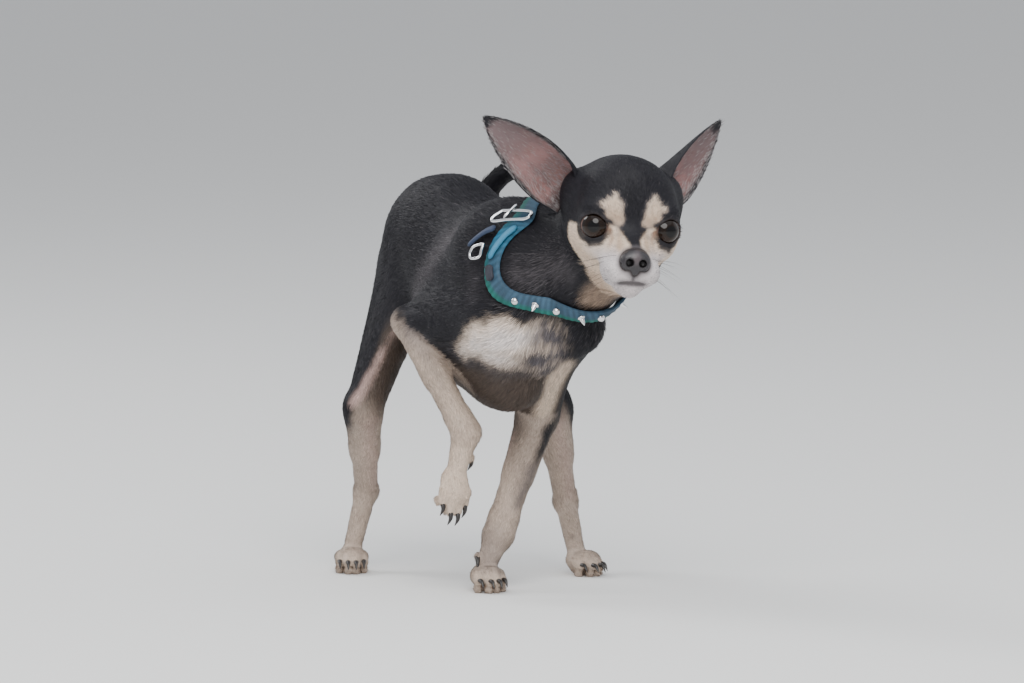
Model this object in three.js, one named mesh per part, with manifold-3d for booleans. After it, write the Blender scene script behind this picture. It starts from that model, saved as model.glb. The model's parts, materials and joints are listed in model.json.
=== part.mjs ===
// A smooth-coated chihuahua at life size, walking with its right foreleg lifted, in a studded collar.
// Millimetres. +X is forward along the trunk, +Y is the dog's left and +Z is up, with the floor at Z = 0.
import * as THREE from "three";
import { mergeVertices } from "three/addons/utils/BufferGeometryUtils.js";
import Module from "manifold-3d";

const wasm = await Module();
wasm.setup();

// Driving dimensions
const GAP = 0.3; // kept between sub-parts that touch
const HALF_CHEST = 37;
const EYE_RADIUS = 9.3;
const EYE_SPACING = 37.6;
const LID_THICKNESS = 1.3;
const EAR_WIDTH = 31;
const EAR_THICKNESS = 1.6;
const CLAW_LENGTH = 8;
const CLAW_RADIUS = 1.5;
const STRAP_WIDTH = 7.6;
const STRAP_THICKNESS = 2.6;

// Joint centres of the pose, all in one frame
const point = (x, y, z) => new THREE.Vector3(x, y, z);
const pose = {
  pelvis: point(-77, -1, 191),
  loin: point(-45, -3, 193),
  chest: point(4, -2, 164),
  neckTop: point(93, 29, 203),
  eyes: point(134, 12.5, 214.8),
  right: {
    blade: point(22, -19, 200),
    shoulder: point(42, -20, 156),
    elbow: point(-24, -44, 152),
    wrist: point(17, -28, 92),
    hip: point(-76, -13, 177),
    stifle: point(-64, -52, 100),
    hock: point(-111, -26, 46),
    ischium: point(-97, -9, 172),
  },
  left: {
    blade: point(26, 17, 200),
    shoulder: point(42, 17, 147),
    elbow: point(5, 24, 98),
    wrist: point(3, 0, 31),
    hip: point(-76, 12, 176),
    stifle: point(-36, 54, 100),
    hock: point(-56, 75, 40),
    ischium: point(-98, 10, 170),
  },
};

// The body is one smooth field: negative inside, zero on the skin. Each form below is a soft mass
// with its own blend, the width over which it melts into what was laid down before it.
const clamp = THREE.MathUtils.clamp;

// A tapered limb between two points. flat squeezes it along side, so its section is an ellipse.
function limb(from, to, fromRadius, toRadius, blend, side = null, flat = 1) {
  const along = to.clone().sub(from);
  const lengthSq = along.lengthSq();
  const offset = new THREE.Vector3();
  return {
    blend,
    distance(p) {
      offset.copy(p).sub(from);
      const t = clamp(offset.dot(along) / lengthSq, 0, 1);
      offset.addScaledVector(along, -t);
      if (side) offset.addScaledVector(side, offset.dot(side) * (flat - 1));
      return (offset.length() - fromRadius - t * (toRadius - fromRadius)) / Math.sqrt(flat);
    },
  };
}

// An egg of three radii, tipped nose down by pitch and turned to the left by yaw, in degrees.
function egg(centre, radii, blend, pitch = 0, yaw = 0) {
  const turn = new THREE.Quaternion().setFromEuler(
    new THREE.Euler(0, THREE.MathUtils.degToRad(pitch), THREE.MathUtils.degToRad(yaw), "ZYX"),
  );
  const back = turn.clone().invert();
  const inner = new THREE.Vector3();
  return {
    blend,
    distance(p) {
      inner.copy(p).sub(centre).applyQuaternion(back).divide(radii);
      const near = inner.length();
      const slope = inner.divide(radii).length();
      return slope < 1e-9 ? -Math.min(radii.x, radii.y, radii.z) : (near * (near - 1)) / slope;
    },
  };
}

function melt(a, b, width) {
  const share = Math.max(width - Math.abs(a - b), 0) / width;
  return Math.min(a, b) - (share * share * width) / 4;
}

function fieldOf(forms) {
  return (p) => forms.reduce((sum, form) => melt(sum, form.distance(p), form.blend), 1e3);
}

// Trunk: rib cage, withers, loin, croup, belly, breast and brisket
const trunkForms = [
  egg(pose.chest, point(70, HALF_CHEST, 54), 1, -8),
  egg(point(28, -1, 198), point(30, 20, 22), 16, 10),
  egg(pose.loin, point(50, 30, 40), 14, 2),
  egg(pose.pelvis, point(29, 27, 36), 12, 20),
  egg(point(-44, -1, 160), point(38, 24, 24), 14, 14),
  egg(point(54, -3, 152), point(16, 20, 24), 12),
  egg(point(22, -4, 118), point(28, 14, 15), 12, -6),
  egg(point(63, 17, 155), point(19, 16, 18), 12),
];

// Neck: an arched column from the shoulders to the nape, and the throat under it
const neckForms = [
  limb(point(32, 0, 190), pose.neckTop, 31, 25, 14),
  limb(point(50, 2, 168), point(98, 24, 194), 25, 18, 10),
];

// Legs. The upper masses melt into the trunk, and the lower ones stay clear of it.
function forelegForms({ blade, shoulder, elbow, wrist }, stout, girth) {
  const share = (part) => elbow.clone().lerp(wrist, part);
  return [
    limb(blade, shoulder, 12, 14, 14),
    limb(shoulder, elbow, 13, girth, 18),
    limb(elbow, share(0.5), girth, 8.1 * stout, 4),
    limb(share(0.45), share(0.88), 8.1 * stout, 7.6 * stout, 3),
    limb(share(0.86), wrist, 7.8 * stout, 8.2 * stout, 3),
  ];
}

function hindLegForms({ hip, ischium, stifle, hock }) {
  const back = hock.clone().sub(stifle).setZ(0).normalize();
  const share = (part, behind = 0) => stifle.clone().lerp(hock, part).addScaledVector(back, behind);
  const side = back.clone().cross(point(0, 0, 1));
  const heel = hock.clone().addScaledVector(back, 8).add(point(0, 0, 3));
  return [
    limb(hip, stifle, 20, 11.5, 12, side, 1.3),
    limb(ischium, share(0.1, 10), 17.5, 7, 10, side, 1.3),
    limb(hip.clone().lerp(ischium, 0.6), share(0.06, 5), 17.5, 9.5, 10, side, 1.25),
    limb(stifle, share(0.5), 11, 8, 5),
    limb(share(0.1, 8), share(0.55, 3), 8, 6, 6),
    limb(share(0.45), hock, 7.8, 6.4, 4),
    limb(share(0.5, 5), heel, 4, 3.4, 3),
    limb(heel, hock, 4, 6.4, 3),
  ];
}

// A paw hangs from its wrist or hock. It has four toes, a pad under them, and maybe a dewclaw.
const TOE_SPREAD = [-1.5, -0.5, 0.5, 1.5];
const TOE_RADIUS = 3.9;
const PAD_RADII = point(3.2, 2.8, 3.4);
const DEW_RADII = point(2.6, 2.4, 3);

function pawOf({ joint, knuckle, ahead, top, length, spacing, jointRadius, dewclaw = 0 }) {
  const forward = ahead.clone().normalize();
  const side = top.clone().cross(forward).normalize();
  const sole = side.clone().cross(forward).normalize();
  const toes = TOE_SPREAD.map((place) => {
    const inner = 1 - Math.abs(place) / 1.5;
    const splay = place * spacing;
    const step = (from, ahead, aside, down) =>
      from.clone().addScaledVector(forward, ahead).addScaledVector(side, aside)
        .addScaledVector(sole, down);
    const root = step(knuckle, inner * 3, splay * 0.5, (1 - inner) * 1.5);
    const middle = step(root, length * (0.42 + inner * 0.12), splay * 0.42, -1 - inner);
    const tip = step(middle, length * (0.3 + inner * 0.1), splay * 0.1, 2.5 * (1 + inner));
    return { root, middle, tip };
  });
  const pad = knuckle.clone().addScaledVector(sole, 5.4).addScaledVector(forward, 2);
  const dew = joint.clone().lerp(knuckle, 0.55).addScaledVector(side, dewclaw * 7.5);
  const forms = [
    limb(joint, knuckle, jointRadius, spacing * 1.2, 4, top.clone().normalize(), 1.2),
    limb(pad, pad.clone().addScaledVector(forward, 5), spacing * 1.1, spacing * 0.95, 2),
    ...toes.flatMap(({ root, middle, tip }) => [
      limb(root, middle, TOE_RADIUS * 0.95, TOE_RADIUS, 5),
      limb(middle, tip, TOE_RADIUS, TOE_RADIUS * 0.82, 1.1),
      egg(tip.clone().addScaledVector(sole, 4.4).addScaledVector(forward, -1.6), PAD_RADII, 1),
    ]),
  ];
  if (dewclaw) forms.push(egg(dew, DEW_RADII, 2));
  return { joint, knuckle, forward, side, sole, toes, forms, dew: dewclaw ? dew : null, dewclaw };
}

const paws = {
  foreleg_right: pawOf({
    joint: pose.right.wrist, knuckle: point(15, -34, 67), ahead: point(0.3, -0.12, -0.95),
    top: point(0.95, 0.1, 0.3), length: 20, spacing: 4.7, jointRadius: 8.6, dewclaw: 1,
  }),
  foreleg_left: pawOf({
    joint: pose.left.wrist, knuckle: point(5, -11, 9.5), ahead: point(1, -0.12, 0),
    top: point(0, 0, 1), length: 17, spacing: 4.7, jointRadius: 8.6, dewclaw: -1,
  }),
  hindleg_right: pawOf({
    joint: pose.right.hock, knuckle: point(-109, -37, 9.5), ahead: point(0.86, -0.4, 0),
    top: point(0, 0, 1), length: 18, spacing: 4.5, jointRadius: 6.8,
  }),
  hindleg_left: pawOf({
    joint: pose.left.hock, knuckle: point(-36, 72, 9.1), ahead: point(1, 0.1, 0),
    top: point(0, 0, 1), length: 18, spacing: 4.5, jointRadius: 6.8,
  }),
};

// Head, in its own frame: x towards the nose, y to the left, z up, with the origin between the eyes
const headFrame = new THREE.Matrix4().makeRotationFromEuler(
  new THREE.Euler(...[-5, 3, -18].map(THREE.MathUtils.degToRad), "ZYX"),
).setPosition(pose.eyes);
const headBack = headFrame.clone().invert();
const onHead = (x, y, z) => point(x, y, z).applyMatrix4(headFrame);
const headways = (x, y, z) => point(x, y, z).transformDirection(headFrame);
const both = (make) => [-1, 1].flatMap(make);

const headForms = [
  egg(point(-30, 0, 6), point(36, 31.5, 31), 1),
  egg(point(-10, 0, 14), point(19, 24, 22), 12),
  ...both((s) => [
    egg(point(-18, s * 17.5, -6), point(23, 12.5, 13), 12),
    egg(point(-1, s * 17, 9.5), point(8, 9, 4.5), 10),
    egg(point(-2, s * 15, -10.5), point(10, 8.5, 7), 9),
    egg(point(-30, s * 25, 14), point(12, 9, 12), 9),
  ]),
  limb(point(0, 0, -4), point(20, 0, -13), 6, 5.5, 8),
  limb(point(-4, 0, -14), point(18.6, 0, -18.6), 16.5, 9.7, 9),
  ...both((s) => egg(point(13, s * 8, -22.8), point(12.5, 9.2, 8.8), 6)),
  limb(point(-22, 0, -27), point(14.5, 0, -30.8), 12, 7, 5),
  egg(point(-26, 0, -18), point(22, 21, 18), 10),
];

// Every leg also has a field of its own, in which nothing melts into the trunk.
const legForms = {
  foreleg_right: forelegForms(pose.right, 1, 8.4),
  foreleg_left: forelegForms(pose.left, 1.12, 11.8),
  hindleg_right: hindLegForms(pose.right),
  hindleg_left: hindLegForms(pose.left),
};
const legFields = Object.fromEntries(Object.entries(legForms).map(([name, forms]) =>
  [name, fieldOf([...forms, ...paws[name].forms])]));
const torsoField = fieldOf([
  ...trunkForms, ...neckForms,
  ...legForms.foreleg_right.slice(0, 3), ...legForms.foreleg_left.slice(0, 3),
  ...legForms.hindleg_right, ...legForms.hindleg_left,
]);
const headField = fieldOf(headForms);
const inHead = new THREE.Vector3();
const bodyField = (p) =>
  melt(torsoField(p), headField(inHead.copy(p).applyMatrix4(headBack)), 10);

// The skin of a field inside a box, as a closed surface. Each cell that the skin passes through
// gets one point, which is then drawn onto the skin.
function skinOf(field, low, high, cell) {
  const count = ["x", "y", "z"].map((axis) => Math.ceil((high[axis] - low[axis]) / cell) + 1);
  const [nx, ny, nz] = count;
  const at = (i, j, k) => i + nx * (j + ny * k);
  const values = new Float32Array(nx * ny * nz);
  const p = new THREE.Vector3();
  for (let k = 0; k < nz; k += 1) {
    for (let j = 0; j < ny; j += 1) {
      for (let i = 0; i < nx; i += 1) {
        const rim = i * j * k === 0 || i === nx - 1 || j === ny - 1 || k === nz - 1;
        const value = field(p.set(i, j, k).multiplyScalar(cell).add(low));
        values[at(i, j, k)] = rim ? Math.max(value, cell / 2) : value;
      }
    }
  }
  const strides = [1, nx, nx * ny];
  loosen(values, strides);
  const corner = (c) => [c & 1, (c >> 1) & 1, (c >> 2) & 1];
  const EDGES = [0, 1, 2, 3, 4, 5, 6, 7].flatMap((c) =>
    [1, 2, 4].filter((bit) => !(c & bit)).map((bit) => [c, c | bit]));
  const pointOf = new Map();
  const positions = [];
  for (let k = 0; k < nz - 1; k += 1) {
    for (let j = 0; j < ny - 1; j += 1) {
      for (let i = 0; i < nx - 1; i += 1) {
        const seen = [0, 1, 2, 3, 4, 5, 6, 7].map((c) => {
          const [a, b, d] = corner(c);
          return values[at(i + a, j + b, k + d)];
        });
        if (seen.every((v) => v < 0) || seen.every((v) => v >= 0)) continue;
        const sum = new THREE.Vector3();
        let crossings = 0;
        for (const [a, b] of EDGES) {
          if (seen[a] < 0 === seen[b] < 0) continue;
          const share = seen[a] / (seen[a] - seen[b]);
          sum.add(point(...corner(a)).lerp(point(...corner(b)), share));
          crossings += 1;
        }
        p.copy(sum).divideScalar(crossings).add(point(i, j, k)).multiplyScalar(cell).add(low);
        drawOnto(field, p, cell * 0.45);
        pointOf.set(at(i, j, k), positions.length / 3);
        positions.push(...p);
      }
    }
  }
  const index = [];
  const quad = (a, b, c, d, flip) => {
    const [p0, p1, p2, p3] = (flip ? [a, d, c, b] : [a, b, c, d]).map((cellAt) => pointOf.get(cellAt));
    index.push(p0, p1, p2, p0, p2, p3);
  };
  for (let k = 0; k < nz - 1; k += 1) {
    for (let j = 0; j < ny - 1; j += 1) {
      for (let i = 0; i < nx - 1; i += 1) {
        const here = at(i, j, k);
        const place = [i, j, k];
        for (let axis = 0; axis < 3; axis += 1) {
          const [u, v] = [(axis + 1) % 3, (axis + 2) % 3];
          if (place[u] === 0 || place[v] === 0) continue;
          const inside = values[here] < 0;
          if (inside === values[here + strides[axis]] < 0) continue;
          const [back, down] = [here - strides[u], here - strides[v]];
          quad(back - strides[v], down, here, back, !inside);
        }
      }
    }
  }
  return closed(positions, index);
}

// Where two corners inside the skin touch only across the diagonal of a square, the shallower one is
// put outside, so that the skin never meets itself along an edge.
function loosen(values, strides) {
  let changed = true;
  while (changed) {
    changed = false;
    for (let here = 0; here < values.length; here += 1) {
      for (let axis = 0; axis < 3; axis += 1) {
        const [u, v] = [strides[axis], strides[(axis + 1) % 3]];
        const square = [here, here + u, here + u + v, here + v];
        const inside = square.map((at) => values[at] < 0);
        if (inside[0] !== inside[2] || inside[1] !== inside[3] || inside[0] === inside[1]) continue;
        const [a, b] = inside[0] ? [square[0], square[2]] : [square[1], square[3]];
        values[values[a] > values[b] ? a : b] = 1e-3;
        changed = true;
      }
    }
  }
}

// Moves a point onto the skin of a field, by no more than reach
function drawOnto(field, p, reach) {
  const start = p.clone();
  const slope = new THREE.Vector3();
  const probe = new THREE.Vector3();
  for (let pass = 0; pass < 3; pass += 1) {
    const value = field(p);
    slope.set(
      field(probe.copy(p).setX(p.x + 0.05)) - value,
      field(probe.copy(p).setY(p.y + 0.05)) - value,
      field(probe.copy(p).setZ(p.z + 0.05)) - value,
    ).divideScalar(0.05);
    p.addScaledVector(slope, -value / Math.max(slope.lengthSq(), 0.05));
  }
  p.sub(start).clampLength(0, reach).add(start);
  return p;
}

function closed(positions, index) {
  const shape = new THREE.BufferGeometry();
  shape.setAttribute("position", new THREE.Float32BufferAttribute(positions, 3));
  shape.setIndex(index);
  return solid(shape);
}

// Rings of points, with a last point at either end, as a closed surface that faces out
function closedTube(positions, rings, sides) {
  const index = [];
  const start = rings * sides;
  for (let k = 0; k < sides; k += 1) {
    const next = (k + 1) % sides;
    for (let ring = 0; ring < rings - 1; ring += 1) {
      const [a, b] = [ring * sides + k, ring * sides + next];
      index.push(a, b, a + sides, b, b + sides, a + sides);
    }
    index.push(start, next, k, start + 1, start - sides + k, start - sides + next);
  }
  return closed(positions, index);
}

// Between three.js and manifold-3d, which only joins and cuts
function solid(geometry) {
  const bare = new THREE.BufferGeometry();
  bare.setAttribute("position", geometry.getAttribute("position"));
  bare.setIndex(geometry.index);
  const merged = mergeVertices(bare, 1e-4);
  return new wasm.Manifold(new wasm.Mesh({
    numProp: 3,
    vertProperties: new Float32Array(merged.attributes.position.array),
    triVerts: new Uint32Array(merged.index.array),
  }));
}

function geometryOf(body) {
  const { numProp, vertProperties, triVerts } = body.getMesh();
  const shape = new THREE.BufferGeometry();
  const places = new Float32Array((vertProperties.length / numProp) * 3);
  for (let i = 0; i * 3 < places.length; i += 1) {
    places.set(vertProperties.subarray(i * numProp, i * numProp + 3), i * 3);
  }
  shape.setAttribute("position", new THREE.BufferAttribute(places, 3));
  shape.setIndex(new THREE.BufferAttribute(new Uint32Array(triVerts), 1));
  return shape;
}

// Places a geometry made along +Z so that it starts at a point and runs along a direction
function aim(geometry, origin, direction) {
  const turn = new THREE.Quaternion().setFromUnitVectors(point(0, 0, 1), direction);
  return geometry.applyQuaternion(turn).translate(...origin);
}

// A cut is a flat slot as thick as the gap, across a leg or the neck at origin.
function slot({ origin, normal, width, depth = width }) {
  return solid(aim(new THREE.BoxGeometry(width, depth, GAP), origin, normal));
}

const between = (a, b, share) => a.clone().lerp(b, share);
const towards = (a, b) => b.clone().sub(a).normalize();
const ankleOf = ({ joint, knuckle }) => ({
  origin: between(joint, knuckle, 0.12), normal: towards(joint, knuckle), width: 30,
});

// Where the body is divided. The thighs part from the trunk, and from each other at the midline.
const cuts = {
  neck: { origin: point(57, 5, 190), normal: point(0.86, 0.22, 0.46).normalize(), width: 110 },
  head: { origin: onHead(-44, 0, -12), normal: headways(0.8, 0, 0.6), width: 90 },
  foreleg_right: {
    origin: between(pose.right.elbow, pose.right.wrist, 0.3),
    normal: towards(pose.right.elbow, pose.right.wrist),
    width: 21,
  },
  foreleg_left: {
    origin: pose.left.elbow,
    normal: point(-0.1, 0, -1).normalize(),
    width: 32,
  },
};
for (const [name, paw] of Object.entries(paws)) cuts[`${name}_ankle`] = ankleOf(paw);

// The room a hind leg hangs in: under a plane through the groin, on its own side of the midline.
const groin = point(-84, 0, 141);
const flanks = {
  right: { origin: point(-48, 0, 150), normal: point(1, 0, 0) },
  left: { origin: point(-40, 0, 150), normal: point(0.93, 0, 0.36) },
};
function legRoom(out, clear) {
  const below = new THREE.BoxGeometry(160, 150, 220).translate(0, 0, 110 + clear);
  const beside = new THREE.BoxGeometry(400, 200, 500).translate(-60, out * (100 + clear), 100);
  const normal = point(0.16, out * 0.62, -0.77).normalize();
  return solid(aim(below, groin, normal)).intersect(solid(beside));
}
function behindFlank(out) {
  const { origin, normal } = flanks[out < 0 ? "right" : "left"];
  return solid(aim(new THREE.BoxGeometry(300, 300, 200).translate(0, 0, -100), origin, normal));
}

// Meshes a field inside a box, cuts it along the slots, and keeps the piece that holds each point.
function pieces(field, { min, max }, cell, slots, wanted, shape = (body) => body) {
  let body = shape(skinOf(field, min, max, cell));
  for (const one of slots) body = body.subtract(slot(one));
  const found = body.decompose().map((piece) => {
    const { min: low, max: high } = piece.boundingBox();
    return { piece, box: new THREE.Box3(point(...low), point(...high)), size: piece.volume() };
  }).sort((a, b) => a.size - b.size);
  return Object.fromEntries(Object.entries(wanted).map(([name, inside]) =>
    [name, found.find(({ box, size }) => size > 200 && box.containsPoint(inside)).piece]));
}

const boxRound = (places, margin) => new THREE.Box3().setFromPoints(places).expandByScalar(margin);

// A leg from its cut to the wrist or hock, and its paw in a finer mesh with flats for soles
function legPieces(name, joints, cell, slots, shape) {
  const paw = paws[name];
  const ankle = cuts[`${name}_ankle`];
  const leg = pieces(legFields[name], boxRound([...joints, paw.joint], 26), cell,
    [...slots, ankle], { [name]: between(paw.joint, joints.at(-1), 0.4) }, shape);
  const far = paw.knuckle.clone().addScaledVector(paw.forward, 17).addScaledVector(paw.sole, 5);
  const floor = new THREE.BoxGeometry(900, 900, 40).translate(0, 0, -20);
  const foot = pieces(legFields[name], boxRound([paw.joint, paw.knuckle, far], 11), 4.1,
    [ankle], { paw: paw.knuckle });
  return { ...leg, [`${name}_paw`]: foot.paw.subtract(solid(floor)) };
}

const { right, left } = pose;
const torsoBox = boxRound([point(-100, -40, 112), point(60, 40, 225)], 26);
const neckBox = boxRound([point(44, 0, 160), onHead(-44, 0, -12)], 42);
const headBox = boxRound([onHead(-60, 0, -30), onHead(20, 0, -20), onHead(-20, 0, 30)], 26);
const clearOf = (name) => (p) => legFields[name](p) - 4 * GAP;
const solids = {
  ...pieces(bodyField, torsoBox, 9.8, [cuts.neck, cuts.foreleg_right, cuts.foreleg_left],
    { trunk: pose.chest },
    (body) => [-1, 1].reduce((rest, out) =>
      rest.subtract(legRoom(out, -GAP / 2).intersect(behindFlank(out))), body)),
  ...pieces(bodyField, neckBox, 9.2, [cuts.neck, cuts.head], { neck: point(75, 16, 195) }),
  ...legPieces("foreleg_right", [right.elbow], 5, [cuts.foreleg_right]),
  ...legPieces("foreleg_left", [left.elbow], 5, [cuts.foreleg_left]),
  ...legPieces("hindleg_right", [right.hip, right.stifle], 7, [], (body) =>
    body.intersect(legRoom(-1, GAP / 2))),
  ...legPieces("hindleg_left", [left.hip, left.stifle], 7, [], (body) =>
    body.intersect(legRoom(1, GAP / 2))),
  ...pieces(bodyField, headBox, 4.5, [cuts.head], { head: onHead(-10, 0, 0) }),
};
for (const [name, { elbow, wrist }] of [["foreleg_right", right], ["foreleg_left", left]]) {
  const { min, max } = boxRound([elbow, wrist], 16);
  const above = new THREE.BoxGeometry(60, 60, 60).translate(0, 0, -30);
  const around = skinOf(clearOf(name), min, max, 4.6)
    .subtract(solid(aim(above, cuts[name].origin, cuts[name].normal)));
  solids.trunk = solids.trunk.subtract(around);
}

// A closed body swept along a curve, w wide to the side and h high at each share t of its length
function sweep(path, { rings, sides, up, halves }) {
  const curve = new THREE.CatmullRomCurve3(path);
  const positions = [];
  for (let ring = 0; ring < rings; ring += 1) {
    const t = ring / (rings - 1);
    const centre = curve.getPointAt(t);
    const tangent = curve.getTangentAt(t);
    const side = up.clone().cross(tangent).normalize();
    const top = tangent.clone().cross(side);
    const [w, h] = halves(t);
    for (let k = 0; k < sides; k += 1) {
      const angle = (k / sides) * Math.PI * 2;
      positions.push(...centre.clone().addScaledVector(side, Math.cos(angle) * w)
        .addScaledVector(top, Math.sin(angle) * h));
    }
  }
  positions.push(...path[0], ...path.at(-1));
  return closedTube(positions, rings, sides);
}

// Takes the body's own skin, grown by the gap, away from something that sits against it
function fitted(piece, cell) {
  const { min, max } = piece.boundingBox();
  const low = point(...min).subScalar(2 * cell);
  const high = point(...max).addScalar(2 * cell);
  return piece.subtract(skinOf((p) => bodyField(p) - GAP, low, high, cell)).decompose()
    .sort((a, b) => b.volume() - a.volume())[0];
}

// Eyes are whole balls. The lids are a thin shell round each ball with the almond opening cut out.
const ball = (radius, centre) => solid(new THREE.SphereGeometry(radius, 16, 10).translate(...centre));
for (const [side, s] of [["right", -1], ["left", 1]]) {
  const centre = onHead(0, s * (EYE_SPACING / 2), 0);
  const gaze = headways(0.93, s * 0.34, 0.04);
  const opening = new THREE.CylinderGeometry(9, 5.4, 12, 20).rotateX(Math.PI / 2);
  opening.scale(0.86, 1, 1).rotateZ(s * 0.1).translate(0, 0, 9);
  solids[`eye_${side}`] = ball(EYE_RADIUS, centre);
  solids.head = solids.head.add(ball(EYE_RADIUS + LID_THICKNESS, centre))
    .subtract(ball(EYE_RADIUS + GAP, centre))
    .subtract(solid(aim(opening, centre, gaze)));
}

// The nose leather, its nostrils, and the split under it
const noseForms = fieldOf([
  egg(point(24.5, 0, -14.5), point(5.5, 7.8, 6), 1),
  ...both((s) => egg(point(26, s * 4.8, -16), point(3.6, 3.6, 4.6), 2)),
  egg(point(25, 0, -20), point(3.4, 3, 3.6), 2),
]);
const noseField = (p) => noseForms(inHead.copy(p).applyMatrix4(headBack));
const noseLow = onHead(25, 0, -16).subScalar(14);
const noseHigh = onHead(25, 0, -16).addScalar(14);
const nostrils = both((s) => sweep(
  [onHead(32, s * 2.6, -15.4), onHead(27.5, s * 3.4, -15.6), onHead(26, s * 6.2, -14.6)],
  { rings: 4, sides: 6, up: headways(0, 0, 1), halves: () => [1.3, 1.7] },
));
const split = sweep([onHead(30.8, 0, -14), onHead(30.4, 0, -18), onHead(27.6, 0, -22.5)], {
  rings: 4, sides: 5, up: headways(1, 0, 0), halves: () => [0.5, 0.9],
});
solids.nose = skinOf(noseField, noseLow, noseHigh, 3);
solids.head = solids.head.subtract(skinOf((p) => noseField(p) - GAP, noseLow, noseHigh, 3));
for (const cutter of [...nostrils, split]) solids.nose = solids.nose.subtract(cutter);

// The line of the mouth, pressed into the skin from corner to corner
const lips = [
  [-3, 19, -20.5], [7, 17, -24.6], [16, 12, -27.6], [22, 5.5, -28.9], [24, 0, -29.4],
  [22, -5.5, -28.9], [16, -12, -27.6], [7, -17, -24.6], [-3, -19, -20.5],
].map(([x, y, z]) => drawOnto(bodyField, onHead(x, y, z), 6));
solids.head = solids.head.subtract(sweep(lips, {
  rings: 14, sides: 4, up: headways(0, 0, 1), halves: () => [1.2, 0.8],
}));

// An ear is a curved shell: nearly a tube at its root, opening to a shallow cup at its tip.
const earProfile = [
  [0, 0.3, 118], [0.12, 0.4, 108], [0.28, 0.49, 84], [0.45, 0.5, 66], [0.62, 0.43, 56],
  [0.78, 0.31, 48], [0.9, 0.18, 42], [0.97, 0.08, 36], [1, 0.035, 30],
];
function earOf(root, tip, opening, bow) {
  const axis = tip.clone().sub(root);
  const open = opening.clone().addScaledVector(axis, -opening.dot(axis) / axis.lengthSq()).normalize();
  const across = axis.clone().normalize().cross(open);
  const positions = [];
  const SPAN = 6;
  for (const [t, width, degrees] of earProfile) {
    const arc = THREE.MathUtils.degToRad(degrees);
    const radius = (width * EAR_WIDTH) / Math.sin(Math.min(arc, Math.PI / 2));
    const centre = root.clone().addScaledVector(axis, t)
      .addScaledVector(across, bow * Math.sin(t * Math.PI)).addScaledVector(open, 3 * t * t);
    const spot = (angle, r) => centre.clone().addScaledVector(across, r * Math.sin(angle))
      .addScaledVector(open, r * -Math.cos(angle) + radius * Math.cos(arc));
    for (let k = 0; k <= SPAN; k += 1) {
      positions.push(...spot(arc * ((2 * k) / SPAN - 1), radius));
    }
    for (let k = SPAN; k >= 0; k -= 1) {
      positions.push(...spot(arc * ((2 * k) / SPAN - 1), radius + EAR_THICKNESS * (1 - 0.4 * t)));
    }
  }
  const end = (at) => positions.slice(at, at + 3);
  const lastRing = positions.length - (SPAN + 1) * 6;
  const middle = (from) => {
    const [inner, outer] = [Math.floor(SPAN / 2), Math.ceil(1.5 * SPAN) + 1]
      .map((k) => point(...end(from + k * 3)));
    return inner.lerp(outer, 0.5);
  };
  const [first, last] = [middle(0), middle(lastRing)];
  positions.push(...first, ...last);
  return closedTube(positions, earProfile.length, 2 * (SPAN + 1));
}
solids.ear_right = fitted(earOf(
  onHead(-26, -30, 8), onHead(-35, -80, 52), headways(0.9, -0.35, -0.2), 2), 3.5);
solids.ear_left = fitted(earOf(
  onHead(-27, 27, 13), onHead(-56, 55, 57), headways(0.5, 0.8, 0), 3), 3.5);

// The tail curls round to the left in two lengths, which meet face to face.
const tailPath = [
  point(-96, 3, 200), point(-109, 11, 204), point(-109, 30, 203), point(-99, 42, 209),
  point(-93, 46, 220), point(-83, 51, 229), point(-65, 55, 233), point(-45, 55, 230),
];
const tail = sweep(tailPath, {
  rings: 18, sides: 8, up: point(0.3, 0.3, -0.9),
  halves: (t) => Array(2).fill(7.4 - 2.6 * t - Math.max(t - 0.86, 0) * 22),
});
const tailCut = slot({ origin: tailPath[4], normal: towards(tailPath[3], tailPath[5]), width: 30 });
[solids.tail_root, solids.tail_tip] = fitted(tail, 5).subtract(tailCut).decompose()
  .sort((a, b) => a.boundingBox().min[0] - b.boundingBox().min[0]);

// Claws, each sunk into the end of its toe
function claw(from, direction, down) {
  const path = [
    from, from.clone().addScaledVector(direction, CLAW_LENGTH * 0.5),
    from.clone().addScaledVector(direction, CLAW_LENGTH * 0.86).addScaledVector(down, CLAW_LENGTH * 0.42),
  ];
  const halves = (t) => Array(2).fill(CLAW_RADIUS * (1.15 - t));
  return sweep(path, { rings: 4, sides: 6, up: down, halves });
}
for (const [name, { toes, forward, sole, side, dew, dewclaw }] of Object.entries(paws)) {
  const claws = toes.map(({ tip }) =>
    claw(tip.clone().addScaledVector(sole, -0.6).addScaledVector(forward, 0.5), forward, sole));
  if (dew) {
    const aslant = forward.clone().addScaledVector(side, dewclaw * 0.35).addScaledVector(sole, 0.7);
    claws.push(claw(dew, aslant.normalize(), sole));
  }
  for (const one of claws) solids[`${name}_paw`] = solids[`${name}_paw`].add(one);
}

// Collar: a strap round the neck, drawn back on the right where its ring hangs, and lying close
// behind the ear at the buckle
const strapAxis = point(1, -0.065, 0.719).normalize();
const strapSide = point(0, 1, 0).cross(strapAxis).normalize();
const strapTop = strapAxis.clone().cross(strapSide);
const STRAP_STEPS = 32;

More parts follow.
